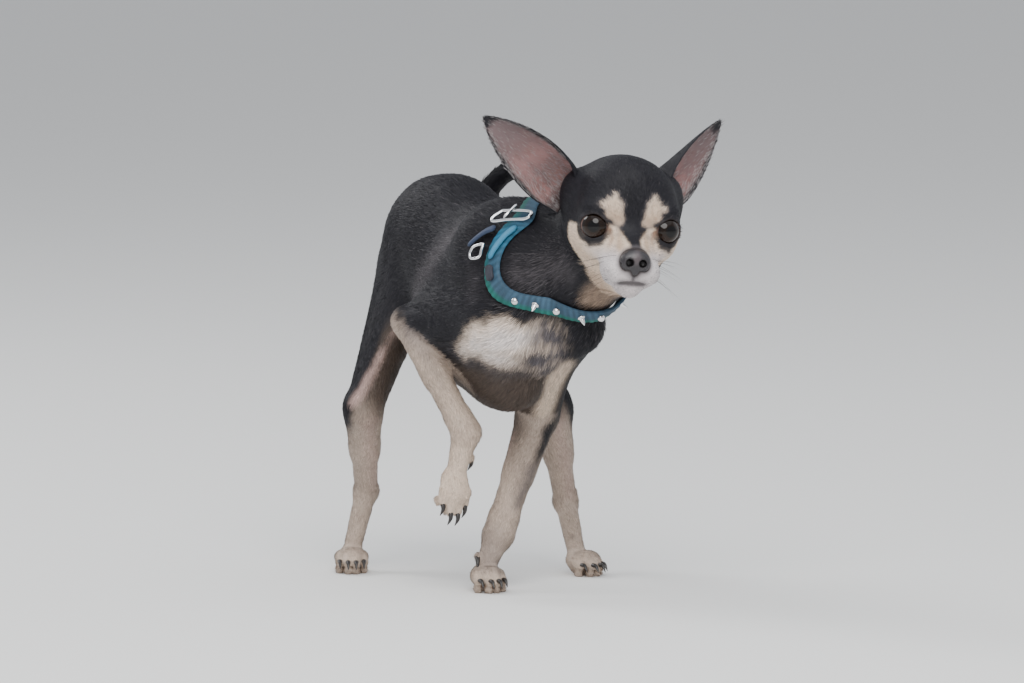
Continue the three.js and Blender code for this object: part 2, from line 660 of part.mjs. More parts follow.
// A place on the strap: angle round the neck from the throat, height across the strap, and lift
function onStrap(degrees, height, lift) {
  const away = ((degrees - 274 + 540) % 360) - 180;
  const drawnBack = 14 * Math.exp(-((away / (away < 0 ? 33 : 41)) ** 2));
  const pushedUp = 9 * Math.exp(-(((degrees - 208) / 27) ** 2));
  const centre = point(67.5, 4, 190).addScaledVector(strapAxis, height - drawnBack + pushedUp);
  const angle = THREE.MathUtils.degToRad(degrees);
  const outward = strapSide.clone().multiplyScalar(Math.cos(angle))
    .addScaledVector(strapTop, Math.sin(angle));
  const spot = centre.clone();
  for (let step = 0; step < 200; step += 1) {
    const depth = -bodyField(spot);
    if (depth < 0.02) break;
    spot.addScaledVector(outward, depth * 0.6 + 0.02);
  }
  return spot.addScaledVector(outward, GAP + 0.9 + lift);
}

// Rings of points joined end to end, as a closed hoop that faces out
function closedHoop(rings) {
  const sides = rings[0].length;
  const index = [];
  rings.forEach((_, ring) => {
    const after = (ring + 1) % rings.length;
    for (let k = 0; k < sides; k += 1) {
      const next = (k + 1) % sides;
      const [here, there] = [ring * sides, after * sides];
      index.push(here + k, here + next, there + k, here + next, there + next, there + k);
    }
  });
  return closed(rings.flat().flatMap((p) => [...p]), index);
}

const strapProfile = [
  [-0.5, 0.3], [-0.46, 0], [0, 0], [0.46, 0], [0.5, 0.3], [0.42, 0.9], [0, 1.08], [-0.42, 0.9],
];
const strapRing = (degrees, grow) => strapProfile.map(([across, out]) => {
  const edge = onStrap(degrees, Math.sign(across) * (STRAP_WIDTH * 0.5 + grow), 0);
  const middle = onStrap(degrees, 0, 0);
  const base = middle.clone().lerp(edge, Math.min(Math.abs(across) * 2, 1));
  const over = onStrap(degrees, 0, 1).sub(middle);
  return base.addScaledVector(over, out * (STRAP_THICKNESS + 2 * grow) - grow);
});
const strapOf = (grow) => closedHoop(Array.from({ length: STRAP_STEPS },
  (_, step) => strapRing((step * 360) / STRAP_STEPS, grow)));
solids.strap = strapOf(0);
const strapRoom = strapOf(GAP);

// Studs along the front of the strap, a dome and a spike by turns
const studAngles = [300, 319, 341, 5, 22, 46, 68, 90, 112];
studAngles.forEach((degrees, place) => {
  const seat = onStrap(degrees, 0, STRAP_THICKNESS * 0.8);
  const outward = onStrap(degrees, 0, 9).sub(seat).normalize();
  const profile = place % 2
    ? [[0, 0], [2, 0], [1.8, 2.2], [0, 5.4]]
    : [[0, 0], [2.3, 0], [2, 2.2], [0, 3.2]];
  const turned = new THREE.LatheGeometry(profile.map(([r, z]) => new THREE.Vector2(r, z)), 7);
  solids[`stud_${String(place + 1).padStart(2, "0")}`] =
    solid(aim(turned.rotateX(Math.PI / 2), seat, outward)).subtract(strapRoom);
});

// A closed loop of round wire through places on the strap
function wire(places, radius, steps) {
  const curve = new THREE.CatmullRomCurve3(places.map((place) => onStrap(...place)), true);
  const outward = onStrap(places[0][0], 0, 9).sub(onStrap(places[0][0], 0, 0)).normalize();
  return closedHoop(Array.from({ length: steps }, (_, step) => {
    const centre = curve.getPointAt(step / steps);
    const side = outward.clone().cross(curve.getTangentAt(step / steps)).normalize();
    const top = curve.getTangentAt(step / steps).cross(side);
    return Array.from({ length: 6 }, (__, k) => {
      const angle = (k / 6) * Math.PI * 2;
      return centre.clone().addScaledVector(side, Math.cos(angle) * radius)
        .addScaledVector(top, Math.sin(angle) * radius);
    });
  }));
}

// A flat length of leather or a pin laid along places on the strap
function laid(places, rings, wide, thick) {
  const path = places.map((place) => onStrap(...place));
  const outward = onStrap(places[0][0], 0, 9).sub(onStrap(places[0][0], 0, 0)).normalize();
  return sweep(path, { rings, sides: 6, up: outward, halves: () => [wide / 2, thick / 2] });
}

// Keeper, the strap's folded layer, buckle, pin, free end and ring, all clear of one another.
// The buckle lies aslant: along runs round the neck from its middle, and across is towards the head.
const onBuckle = (along, across, lift) => [217 + along - across * 0.85, across, lift];
solids.keeper = laid([[270, 0, 3.2], [263, 0, 3.2], [257, 0, 3.2]], 4, 8.4, 2.6)
  .subtract(strapRoom);
solids.strap_fold = laid(
  [[253, 0.5, 4.3], [246, 2, 4.2], [236, 3, 4.2], [226, 3.5, 4.2]], 6, 5, 2.2,
).subtract(strapRoom);
solids.buckle_frame = wire([
  onBuckle(-5, -4.6, 7.4), onBuckle(0, -5.6, 7.6), onBuckle(5, -4.6, 7.4), onBuckle(5.5, 0, 6.6),
  onBuckle(5, 4.6, 5.8), onBuckle(0, 5.6, 5.8), onBuckle(-5, 4.6, 5.8), onBuckle(-5.5, 0, 6.6),
], 0.95, 18);
solids.buckle_pin = laid(
  [onBuckle(-8, 0.5, 9.9), onBuckle(0, 0.5, 10.1), onBuckle(7, 0.5, 9.7)], 3, 1.7, 1.5,
);
solids.strap_end = laid(
  [[229, -3.5, 5], [231.5, -7.5, 4.3], [235, -11, 3.6], [239, -15, 3.2]], 6, 5.2, 2.2,
).subtract(strapRoom);
solids.lead_ring = wire([
  [242, -3.4, 6], [242, -6.4, 6], [243, -8.6, 5.8], [246, -9.6, 5.6], [249, -8.6, 5.8],
  [250.5, -6.4, 6], [250.5, -3.4, 6], [246, -3, 6.2],
], 0.85, 18);

// Names, finishes, and the place in the frame: the floor under the middle of the whole dog
const finishes = {
  black: { color: 0x2b2829, roughness: 0.62 },
  tan: { color: 0xa08a7a, roughness: 0.75 },
  mask: { color: 0x3b3432, roughness: 0.65 },
  ear: { color: 0x5a4644, roughness: 0.7 },
  eye: { color: 0x1d110c, roughness: 0.05 },
  nose: { color: 0x211f20, roughness: 0.35 },
  leather: { color: 0x2c6f7d, roughness: 0.55 },
  darkLeather: { color: 0x2d3448, roughness: 0.6 },
  steel: { color: 0xc9cdd1, roughness: 0.22, metalness: 1 },
};
const finishOf = (name) => {
  if (/^(trunk|neck|tail)/.test(name)) return "black";
  if (/leg_/.test(name)) return "tan";
  if (/^head/.test(name)) return "mask";
  if (/^ear/.test(name)) return "ear";
  if (/^eye/.test(name)) return "eye";
  if (/^nose/.test(name)) return "nose";
  if (/^(keeper|strap_end)/.test(name)) return "darkLeather";
  if (/^strap/.test(name)) return "leather";
  return "steel";
};

const dog = new THREE.Group();
dog.name = "chihuahua";
for (const [name, body] of Object.entries(solids)) {
  const whole = body.decompose().sort((a, b) => b.volume() - a.volume())[0];
  const finish = { metalness: 0, ...finishes[finishOf(name)] };
  const mesh = new THREE.Mesh(geometryOf(whole), new THREE.MeshStandardMaterial(finish));
  mesh.name = name;
  dog.add(mesh);
}
const middle = new THREE.Box3().setFromObject(dog).getCenter(new THREE.Vector3());
for (const mesh of dog.children) {
  mesh.geometry.translate(-middle.x, -middle.y, 0);
  mesh.geometry.computeVertexNormals();
}

export default dog;
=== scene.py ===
import json
import math

import bpy
import numpy as np
from mathutils import Euler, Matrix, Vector

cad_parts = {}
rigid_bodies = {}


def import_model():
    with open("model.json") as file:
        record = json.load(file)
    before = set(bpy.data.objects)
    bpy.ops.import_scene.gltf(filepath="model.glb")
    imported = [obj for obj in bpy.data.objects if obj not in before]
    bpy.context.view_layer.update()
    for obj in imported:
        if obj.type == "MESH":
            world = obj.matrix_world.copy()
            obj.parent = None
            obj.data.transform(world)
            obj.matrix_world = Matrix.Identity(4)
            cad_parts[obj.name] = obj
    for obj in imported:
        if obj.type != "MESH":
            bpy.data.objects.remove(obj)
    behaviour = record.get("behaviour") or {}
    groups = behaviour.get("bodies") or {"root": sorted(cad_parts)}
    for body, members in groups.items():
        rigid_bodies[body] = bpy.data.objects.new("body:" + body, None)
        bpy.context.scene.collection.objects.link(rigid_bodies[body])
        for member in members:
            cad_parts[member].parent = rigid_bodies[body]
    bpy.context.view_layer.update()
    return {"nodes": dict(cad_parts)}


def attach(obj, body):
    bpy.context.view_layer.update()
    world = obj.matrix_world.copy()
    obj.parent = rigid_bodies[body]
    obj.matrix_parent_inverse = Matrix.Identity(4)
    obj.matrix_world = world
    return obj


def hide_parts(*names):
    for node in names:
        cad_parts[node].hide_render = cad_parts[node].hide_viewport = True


for started in list(bpy.data.objects):
    bpy.data.objects.remove(started)
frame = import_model()
chance = np.random.default_rng(7)

# The shape is worked out in millimetres about the pose's own origin, and every mesh is then set
# in the part's frame, in metres. The right eye, a ball in both, tells how far apart the two lie.
eyeNode = frame["nodes"]["eye_right"]
eyeBox = np.array([eyeNode.matrix_world @ Vector(corner) for corner in eyeNode.bound_box]) * 1000


def vec(x, y, z):
    return np.array((x, y, z), dtype=float)


def unit(v):
    return v / np.linalg.norm(v)


def between(a, b, share):
    return a + (b - a) * share


def turnOf(roll, pitch, yaw):
    angles = [math.radians(a) for a in (roll, pitch, yaw)]
    return np.array(Euler(angles, "XYZ").to_matrix())


# A new object, linked to the scene
def placed(name, data):
    made = bpy.data.objects.new(name, data)
    bpy.context.scene.collection.objects.link(made)
    return made


# Soft forms: each is a distance, the width over which it melts, and the box it can change
def limb(a, b, fromRadius, toRadius, blend, side=None, flat=1.0):
    along = b - a
    lengthSq = along @ along

    def distance(x, y, z):
        ox, oy, oz = x - a[0], y - a[1], z - a[2]
        t = np.clip((ox * along[0] + oy * along[1] + oz * along[2]) / lengthSq, 0, 1)
        ox, oy, oz = ox - t * along[0], oy - t * along[1], oz - t * along[2]
        if side is not None:
            push = (ox * side[0] + oy * side[1] + oz * side[2]) * (flat - 1)
            ox, oy, oz = ox + push * side[0], oy + push * side[1], oz + push * side[2]
        reach = np.sqrt(ox * ox + oy * oy + oz * oz)
        return (reach - fromRadius - t * (toRadius - fromRadius)) / math.sqrt(flat)

    low = np.minimum(a - fromRadius, b - toRadius)
    high = np.maximum(a + fromRadius, b + toRadius)
    return {"distance": distance, "blend": blend, "low": low, "high": high}


def egg(centre, radii, blend, pitch=0, yaw=0, turn=None):
    turn = turnOf(0, pitch, yaw) if turn is None else turn
    radii = np.asarray(radii, dtype=float)

    def distance(x, y, z):
        ox, oy, oz = x - centre[0], y - centre[1], z - centre[2]
        near = slope = 0
        for k in range(3):
            inner = (ox * turn[0, k] + oy * turn[1, k] + oz * turn[2, k]) / radii[k]
            near = near + inner * inner
            slope = slope + inner * inner / (radii[k] * radii[k])
        near = np.sqrt(near)
        return near * (near - 1) / np.maximum(np.sqrt(slope), 1e-6)

    reach = np.sqrt(((turn * radii) ** 2).sum(axis=1))
    return {"distance": distance, "blend": blend, "low": centre - reach, "high": centre + reach}


def melt(a, b, width):
    share = np.maximum(width - np.abs(a - b), 0) / width
    return np.minimum(a, b) - share * share * width / 4


# Pose and masses of the body
rightJoints = {
    "blade": vec(22, -19, 200), "shoulder": vec(42, -20, 156), "elbow": vec(-24, -44, 152),
    "wrist": vec(17, -28, 92), "hip": vec(-76, -13, 177), "stifle": vec(-64, -52, 100),
    "hock": vec(-111, -26, 46), "ischium": vec(-97, -9, 172),
}
leftJoints = {
    "blade": vec(26, 17, 200), "shoulder": vec(42, 17, 147), "elbow": vec(5, 24, 98),
    "wrist": vec(3, 0, 31), "hip": vec(-76, 12, 176), "stifle": vec(-36, 54, 100),
    "hock": vec(-56, 75, 40), "ischium": vec(-98, 10, 170),
}
neckTop = vec(93, 29, 203)
eyes = vec(134, 12.5, 214.8)
headTurn = turnOf(-5, 3, -18)


def onHead(x, y, z):
    return eyes + headTurn @ vec(x, y, z)


def headways(x, y, z):
    return headTurn @ unit(vec(x, y, z))


middle = (onHead(0, -18.8, 0) - (eyeBox.min(axis=0) + eyeBox.max(axis=0)) / 2) * (1, 1, 0)
print("frame lies", middle.round(3), "mm from the pose's origin")


# From the pose's millimetres to the part's frame, in metres
def inFrame(points):
    return (np.asarray(points) - middle) * 0.001


def headEgg(centre, radii, blend):
    return egg(onHead(*centre), radii, blend, turn=headTurn)


def headLimb(a, b, fromRadius, toRadius, blend):
    return limb(onHead(*a), onHead(*b), fromRadius, toRadius, blend)


trunkForms = [
    egg(vec(4, -2, 164), (70, 37, 54), 1, -8),
    egg(vec(28, -1, 198), (30, 20, 22), 16, 10),
    egg(vec(-45, -3, 193), (50, 30, 40), 14, 2),
    egg(vec(-77, -1, 191), (29, 27, 36), 12, 20),
    egg(vec(-44, -1, 160), (38, 24, 24), 14, 14),
    egg(vec(54, -3, 152), (16, 20, 24), 12),
    egg(vec(22, -4, 118), (28, 14, 15), 12, -6),
    egg(vec(63, 17, 155), (19, 16, 18), 12),
    limb(vec(32, 0, 190), neckTop, 31, 25, 14),
    limb(vec(50, 2, 168), vec(98, 24, 194), 25, 18, 10),
]


def forelegForms(joints, stout, girth):
    elbow, wrist = joints["elbow"], joints["wrist"]
    at = lambda share: between(elbow, wrist, share)
    return [
        limb(joints["blade"], joints["shoulder"], 12, 14, 14),
        limb(joints["shoulder"], elbow, 13, girth, 18),
        limb(elbow, at(0.5), girth, 8.1 * stout, 4),
        limb(at(0.45), at(0.88), 8.1 * stout, 7.6 * stout, 3),
        limb(at(0.86), wrist, 7.8 * stout, 8.2 * stout, 3),
    ]


def hindLegForms(joints):
    hip, ischium, stifle, hock = (joints[k] for k in ("hip", "ischium", "stifle", "hock"))
    back = unit((hock - stifle) * (1, 1, 0))
    at = lambda share, behind=0: between(stifle, hock, share) + back * behind
    side = np.cross(back, (0, 0, 1))
    heel = hock + back * 8 + (0, 0, 3)
    return [
        limb(hip, stifle, 20, 11.5, 12, side, 1.3),
        limb(ischium, at(0.1, 10), 17.5, 7, 10, side, 1.3),
        limb(between(hip, ischium, 0.6), at(0.06, 5), 17.5, 9.5, 10, side, 1.25),
        limb(stifle, at(0.5), 11, 8, 5),
        limb(at(0.1, 8), at(0.55, 3), 8, 6, 6),
        limb(at(0.45), hock, 7.8, 6.4, 4),
        limb(at(0.5, 5), heel, 4, 3.4, 3),
        limb(heel, hock, 4, 6.4, 3),
    ]


def pawOf(joint, knuckle, ahead, top, length, spacing, jointRadius, dewclaw=0):
    forward = unit(vec(*ahead))
    side = unit(np.cross(vec(*top), forward))
    sole = unit(np.cross(side, forward))
    toes = []
    for place in (-1.5, -0.5, 0.5, 1.5):
        inner = 1 - abs(place) / 1.5
        splay = place * spacing
        root = knuckle + forward * inner * 3 + side * splay * 0.5 + sole * (1 - inner) * 1.5
        bend = root + forward * length * (0.42 + inner * 0.12) + side * splay * 0.42 - sole * (1 + inner)
        tip = bend + forward * length * (0.3 + inner * 0.1) + side * splay * 0.1 + sole * 2.5 * (1 + inner)
        toes.append((root, bend, tip))
    pad = knuckle + sole * 5.4 + forward * 2
    dew = between(joint, knuckle, 0.55) + side * dewclaw * 7.5
    forms = [
        limb(joint, knuckle, jointRadius, spacing * 1.2, 4, unit(vec(*top)), 1.2),
        limb(pad, pad + forward * 5, spacing * 1.1, spacing * 0.95, 2),
    ]
    for root, bend, tip in toes:
        forms += [
            limb(root, bend, 3.7, 3.9, 5),
            limb(bend, tip, 3.9, 3.2, 1.1),
            egg(tip + sole * 4.4 - forward * 1.6, (3.2, 2.8, 3.4), 1),
        ]
    if dewclaw:
        forms.append(egg(dew, (2.6, 2.4, 3), 2))
    return {
        "joint": joint, "knuckle": knuckle, "forward": forward, "side": side, "sole": sole,
        "toes": toes, "forms": forms, "dew": dew, "dewclaw": dewclaw,
    }


paws = {
    "foreleg_right": pawOf(rightJoints["wrist"], vec(15, -34, 67), (0.3, -0.12, -0.95),
                           (0.95, 0.1, 0.3), 20, 4.7, 8.6, 1),
    "foreleg_left": pawOf(leftJoints["wrist"], vec(5, -11, 9.5), (1, -0.12, 0),
                          (0, 0, 1), 17, 4.7, 8.6, -1),
    "hindleg_right": pawOf(rightJoints["hock"], vec(-109, -37, 9.5), (0.86, -0.4, 0),
                           (0, 0, 1), 18, 4.5, 6.8),
    "hindleg_left": pawOf(leftJoints["hock"], vec(-36, 72, 9.1), (1, 0.1, 0),
                          (0, 0, 1), 18, 4.5, 6.8),
}
legForms = {
    "foreleg_right": forelegForms(rightJoints, 1, 8.4),
    "foreleg_left": forelegForms(leftJoints, 1.12, 11.8),
    "hindleg_right": hindLegForms(rightJoints),
    "hindleg_left": hindLegForms(leftJoints),
}

headForms = [
    headEgg((-30, 0, 6), (36, 31.5, 31), 1),
    headEgg((-10, 0, 14), (19, 24, 22), 12),
]
for s in (-1, 1):
    headForms += [
        headEgg((-18, s * 17.5, -6), (23, 12.5, 13), 12),
        headEgg((-1, s * 17, 9.5), (8, 9, 4.5), 10),
        headEgg((-2, s * 15, -10.5), (10, 8.5, 7), 9),
        headEgg((-30, s * 25, 14), (12, 9, 12), 9),
    ]
headForms += [
    headLimb((0, 0, -4), (20, 0, -13), 6, 5.5, 8),
    headLimb((-4, 0, -14), (18.6, 0, -18.6), 16.5, 9.7, 9),
    headEgg((13, -8, -22.8), (12.5, 9.2, 8.8), 6),
    headEgg((13, 8, -22.8), (12.5, 9.2, 8.8), 6),
    headLimb((-22, 0, -27), (14.5, 0, -30.8), 12, 7, 5),
    headEgg((-26, 0, -18), (22, 21, 18), 10),
]

tailPoints = [
    vec(-96, 3, 200), vec(-109, 11, 204), vec(-109, 30, 203), vec(-99, 42, 209),
    vec(-93, 46, 220), vec(-83, 51, 229), vec(-65, 55, 233), vec(-45, 55, 230),
]


# Places at even shares of the length of a smooth curve through the points
def curveThrough(points, count):
    points = np.asarray(points)
    padded = np.vstack([2 * points[0] - points[1], points, 2 * points[-1] - points[-2]])
    fine = []
    for k in range(len(points) - 1):
        a, b, c, d = padded[k:k + 4]
        for t in np.linspace(0, 1, 24, endpoint=False):
            fine.append(0.5 * (2 * b + (c - a) * t + (2 * a - 5 * b + 4 * c - d) * t * t
                               + (3 * b - a - 3 * c + d) * t ** 3))
    fine = np.array(fine + [points[-1]])
    run = np.concatenate([[0], np.cumsum(np.linalg.norm(np.diff(fine, axis=0), axis=1))])
    at = np.linspace(0, run[-1], count)
    return np.column_stack([np.interp(at, run, fine[:, k]) for k in range(3)])


tailRuns = 18
tailLine = curveThrough(tailPoints, tailRuns + 1)
tailRadii = [max(7.4 - 2.6 * t - max(t - 0.86, 0) * 22, 2.4) for t in np.linspace(0, 1, tailRuns + 1)]
tailForms = [
    limb(tailLine[k], tailLine[k + 1], tailRadii[k], tailRadii[k + 1], 5 if k < 3 else 0.5)
    for k in range(tailRuns)
]

# The skin's field, on any set of places. It lies a little inside the flesh, under the fur
skin = {"inside": 0.55, "coarse": 1.55, "fine": 0.85}
eye = {"radius": 9.3, "lens": 0.55, "openWide": 7.1, "openHigh": 6.2, "tip": 0.1}
eyeCentres = [onHead(0, s * 18.8, 0) for s in (-1, 1)]
gazes = [headways(0.93, s * 0.34, 0.04) for s in (-1, 1)]


# Along the gaze, towards the outer corner, and up, for the right eye and then the left
def eyeAxes(k):
    s = (-1, 1)[k]
    across = unit(np.cross(headways(0, 0, 1), gazes[k])) * s
    up = unit(np.cross(gazes[k], across) * s)
    tip = eye["tip"]
    return (gazes[k], across * math.cos(tip) + up * math.sin(tip),
            up * math.cos(tip) - across * math.sin(tip))


# The part of a grid, or of a list of places, that a form can change
def inBox(form, x, y, z, extra):
    low, high = form["low"] - extra, form["high"] + extra
    if x.ndim == 1:
        return np.nonzero((x > low[0]) & (x < high[0]) & (y > low[1]) & (y < high[1])
                          & (z > low[2]) & (z < high[2]))[0]
    spans = []
    for places, a, b in zip((x, y, z), low, high):
        flat = places.ravel()
        spans.append(slice(np.searchsorted(flat, a), np.searchsorted(flat, b)))
    return tuple(spans)


def laidDown(forms, x, y, z, start=None):
    shape = np.broadcast_shapes(x.shape, y.shape, z.shape)
    values = np.full(shape, 1e3, dtype=np.float32) if start is None else start
    for form in forms:
        part = inBox(form, x, y, z, form["blend"] + 4)
        if x.ndim == 1:
            spot = (x[part], y[part], z[part])
        else:
            spot = (x[part[0]], y[:, part[1]], z[:, :, part[2]])
        values[part] = melt(values[part], form["distance"](*spot), form["blend"])
    return values


def smoothMax(a, b, width):
    return -melt(-a, -b, width)


# Changes a field only inside a box
def carve(values, x, y, z, low, high, change):
    box = {"low": low, "high": high}
    part = inBox(box, x, y, z, 0)
    spot = (x[part], y[part], z[part]) if x.ndim == 1 else (x[part[0]], y[:, part[1]], z[:, :, part[2]])
    values[part] = change(values[part], *spot)
    return values


def inAxes(x, y, z, centre, axes):
    ox, oy, oz = x - centre[0], y - centre[1], z - centre[2]
    return [ox * a[0] + oy * a[1] + oz * a[2] for a in axes]


# The opening of an eye: nothing at its edge, less inside and more outside
def almondAt(v, w, high=eye["openHigh"]):
    return (np.sqrt((v / eye["openWide"]) ** 2 + (w / high) ** 2) - 1) * 6


# Raises the lids over an eye and opens them in an almond that the ball fills
def lidded(k):
    axes = eyeAxes(k)
    centre = eyeCentres[k]

    def change(values, x, y, z):
        u, v, w = inAxes(x, y, z, centre, axes)
        ball = np.sqrt(u * u + v * v + w * w)
        rolled = melt(values, ball - eye["radius"] - 1.25, 2.2)
        corner = np.where(v < 0, 0.22 * np.abs(v) / 7, 0.05 * np.abs(v) / 7)
        high = np.where(w > 0, 6.0, 6.3) * (1 - corner)
        almond = almondAt(v, w, high) - np.maximum(u - 8, 0) * 0.7
        hole = smoothMax(almond, 2.5 - u, 0.5)
        fold = np.exp(-((almond - 2.3) / 0.5) ** 2) + 0.6 * np.exp(-((almond - 4.1) / 0.6) ** 2) * (w < 0)
        fold = fold * np.clip((u - 3) / 3, 0, 1) * np.clip((np.abs(w) - 3) / 4, 0, 1)
        return smoothMax(rolled + 0.4 * fold, -hole, 0.7)

    return centre - 15, centre + 15, change


def slopeAt(field, points, step=0.12):
    x, y, z = (points[:, k].copy() for k in range(3))
    here = field(x, y, z)
    slope = np.column_stack([
        field(x + step, y, z) - here, field(x, y + step, z) - here, field(x, y, z + step) - here,
    ]) / step
    return here, slope


def drawOnto(field, points, reach, passes=2):
    start = points.copy()
    for _ in range(passes):
        here, slope = slopeAt(field, points)
        points = points - slope * (here / np.maximum((slope ** 2).sum(axis=1), 0.05))[:, None]
    move = points - start
    length = np.linalg.norm(move, axis=1)
    return start + move * np.minimum(1, reach / np.maximum(length, 1e-9))[:, None]


mouthLine = curveThrough([onHead(*p) for p in (
    (-3, 19, -20.5), (7, 17, -24.6), (16, 12, -27.6), (22, 5.5, -28.9), (24, 0, -29.4),
    (22, -5.5, -28.9), (16, -12, -27.6), (7, -17, -24.6), (-3, -19, -20.5),
)], 34)
lipRuns = 32


# The distance to the plain body, without lids, mouth or paws, as the collar sits on it
def bodyAt(x, y, z):
    torso = laidDown(trunkForms + legForms["foreleg_right"][:3] + legForms["foreleg_left"][:3]
                     + legForms["hindleg_right"] + legForms["hindleg_left"], x, y, z)
    return melt(torso, laidDown(headForms, x, y, z), 10)


mouthLine = drawOnto(bodyAt, mouthLine, 6, 3)


hollows = [limb(onHead(30, s * 3.3, -15.6), onHead(20, s * 4.2, -16.4), 3.2, 2.4, 1)["distance"]
           for s in (-1, 1)]


def skinAt(x, y, z):
    values = bodyAt(x, y, z)
    for hollow in hollows:
        low, high = onHead(24, 0, -16) - 16, onHead(24, 0, -16) + 16
        values = carve(values, x, y, z, low, high, lambda f, p, q, r: smoothMax(f, -hollow(p, q, r), 0.6))
    for name, forms in legForms.items():
        values = melt(values, laidDown(forms + paws[name]["forms"], x, y, z), 1.6)
    values = laidDown(tailForms, x, y, z, values)
    for k in (0, 1):
        values = carve(values, x, y, z, *lidded(k))
    for k in range(len(mouthLine) - 1):
        a, b = mouthLine[k], mouthLine[k + 1]
        groove = limb(a, b, 0.9, 0.9, 1)["distance"]
        low, high = np.minimum(a, b) - 4, np.maximum(a, b) + 4
        values = carve(values, x, y, z, low, high,
                       lambda f, p, q, r: smoothMax(f, -groove(p, q, r), 1.6))
    return values + skin["inside"]


# The skin of a field over an uneven grid, one point in each cell that it passes through
def netOver(field, lines):
    x = lines[0].astype(np.float32)[:, None, None]
    y = lines[1].astype(np.float32)[None, :, None]
    z = lines[2].astype(np.float32)[None, None, :]
    values = field(x, y, z)
    inside = values < 0
    loosen(values, inside)
    count = np.zeros([n - 1 for n in inside.shape], dtype=np.int8)
    for corner in np.ndindex(2, 2, 2):
        count += inside[tuple(slice(c, c + n - 1) for c, n in zip(corner, inside.shape))]
    cells = np.argwhere((count > 0) & (count < 8))
    number = -np.ones(count.shape, dtype=np.int32)
    number[tuple(cells.T)] = np.arange(len(cells))
    total = np.zeros((len(cells), 3))
    hits = np.zeros(len(cells))
    grids = [np.asarray(line) for line in lines]
    for axis in range(3):
        for other in ((0, 0), (0, 1), (1, 0), (1, 1)):
            near = cells.copy()
            u, v = (axis + 1) % 3, (axis + 2) % 3
            near[:, u] += other[0]
            near[:, v] += other[1]
            far = near.copy()
            far[:, axis] += 1
            a, b = values[tuple(near.T)], values[tuple(far.T)]
            crossed = (a < 0) != (b < 0)
            share = np.where(crossed, a / np.where(crossed, a - b, 1), 0)
            place = np.column_stack([grids[k][near[:, k]] for k in range(3)])
            place[:, axis] += share * (grids[axis][far[:, axis]] - grids[axis][near[:, axis]])
            total += place * crossed[:, None]
            hits += crossed
    points = total / hits[:, None]
    quads = []
    for axis in range(3):
        u, v = (axis + 1) % 3, (axis + 2) % 3
        step = [slice(0, n - 1) for n in inside.shape]
        ahead = list(step)
        ahead[axis] = slice(1, inside.shape[axis])
        first, second = inside[tuple(step)], inside[tuple(ahead)]
        edges = np.argwhere(first != second)
        edges = edges[(edges[:, u] > 0) & (edges[:, v] > 0)]
        back, down, both = edges.copy(), edges.copy(), edges.copy()
        back[:, u] -= 1
        down[:, v] -= 1
        both[:, u] -= 1
        both[:, v] -= 1
        ring = np.column_stack([number[tuple(e.T)] for e in (both, down, edges, back)])
        flip = ~first[tuple(edges.T)]
        ring[flip] = ring[flip][:, ::-1]
        quads.append(ring)
    return points, np.vstack(quads)


# Puts one corner outside where two touch only across a square, so no edge has four faces
def loosen(values, inside):
    for _ in range(6):
        changed = 0
        for axis in range(3):
            u, v = [k for k in range(3) if k != axis]
            def cut(i, j):
                place = [slice(None)] * 3
                place[u] = slice(i, inside.shape[u] - 1 + i)
                place[v] = slice(j, inside.shape[v] - 1 + j)
                return tuple(place)
            a, b, c, d = (inside[cut(*p)] for p in ((0, 0), (1, 0), (1, 1), (0, 1)))
            for first, second, bad in (((0, 0), (1, 1), a & c & ~b & ~d), ((1, 0), (0, 1), b & d & ~a & ~c)):
                spots = np.argwhere(bad)
                changed += len(spots)
                for spot in spots:
                    one, two = spot.copy(), spot.copy()
                    one[u] += first[0]
                    one[v] += first[1]
                    two[u] += second[0]
                    two[v] += second[1]
                    out = one if values[tuple(one)] > values[tuple(two)] else two
                    values[tuple(out)] = 1e-3
                    inside[tuple(out)] = False
        if not changed:
            break


# Lines of a grid, close together between two places and further apart elsewhere
def spaced(low, high, fineLow, fineHigh, coarse, fine):
    parts = [
        np.arange(fineLow, low - coarse, -coarse)[::-1],
        np.arange(fineLow, fineHigh, fine)[1:],
        np.arange(fineHigh, high + coarse, coarse),
    ]
    return np.concatenate(parts)


lines = [
    spaced(-122, 165, 84, 162, skin["coarse"], skin["fine"]),
    spaced(-66, 90, -28, 46, skin["coarse"], skin["fine"]),
    spaced(-2, 262, 172, 250, skin["coarse"], skin["fine"]),
]
skinPoints, skinQuads = netOver(skinAt, lines)
skinPoints = drawOnto(skinAt, skinPoints, 0.5)
print("skin", len(skinPoints), "points", len(skinQuads), "quads")

# Ears: curved shells, nearly a tube at the root and a shallow cup at the tip
earProfile = np.array([
    [0, 0.3, 118], [0.12, 0.4, 108], [0.28, 0.49, 84], [0.45, 0.5, 66], [0.62, 0.43, 56],
    [0.78, 0.31, 48], [0.9, 0.18, 42], [0.97, 0.08, 36], [1, 0.03, 30],
])
ear = {"width": 31, "thick": 1.15, "rows": 64, "columns": 40}
ears = [
    {"root": onHead(-26, -30, 8), "tip": onHead(-35, -80, 52),
     "opening": headways(0.9, -0.35, -0.2), "bow": 2},
    {"root": onHead(-27, 27, 13), "tip": onHead(-56, 55, 57), "opening": headways(0.5, 0.8, 0), "bow": 3},
]


# The ear's profile at many heights, eased between its rows
def smoothed(at, column):
    rows = curveThrough(np.column_stack([earProfile[:, 0] * 100, earProfile[:, column] * (
        100 if column == 1 else 1), np.zeros(len(earProfile))]), 400)
    return np.interp(at, rows[:, 0] / 100, rows[:, 1] / (100 if column == 1 else 1))


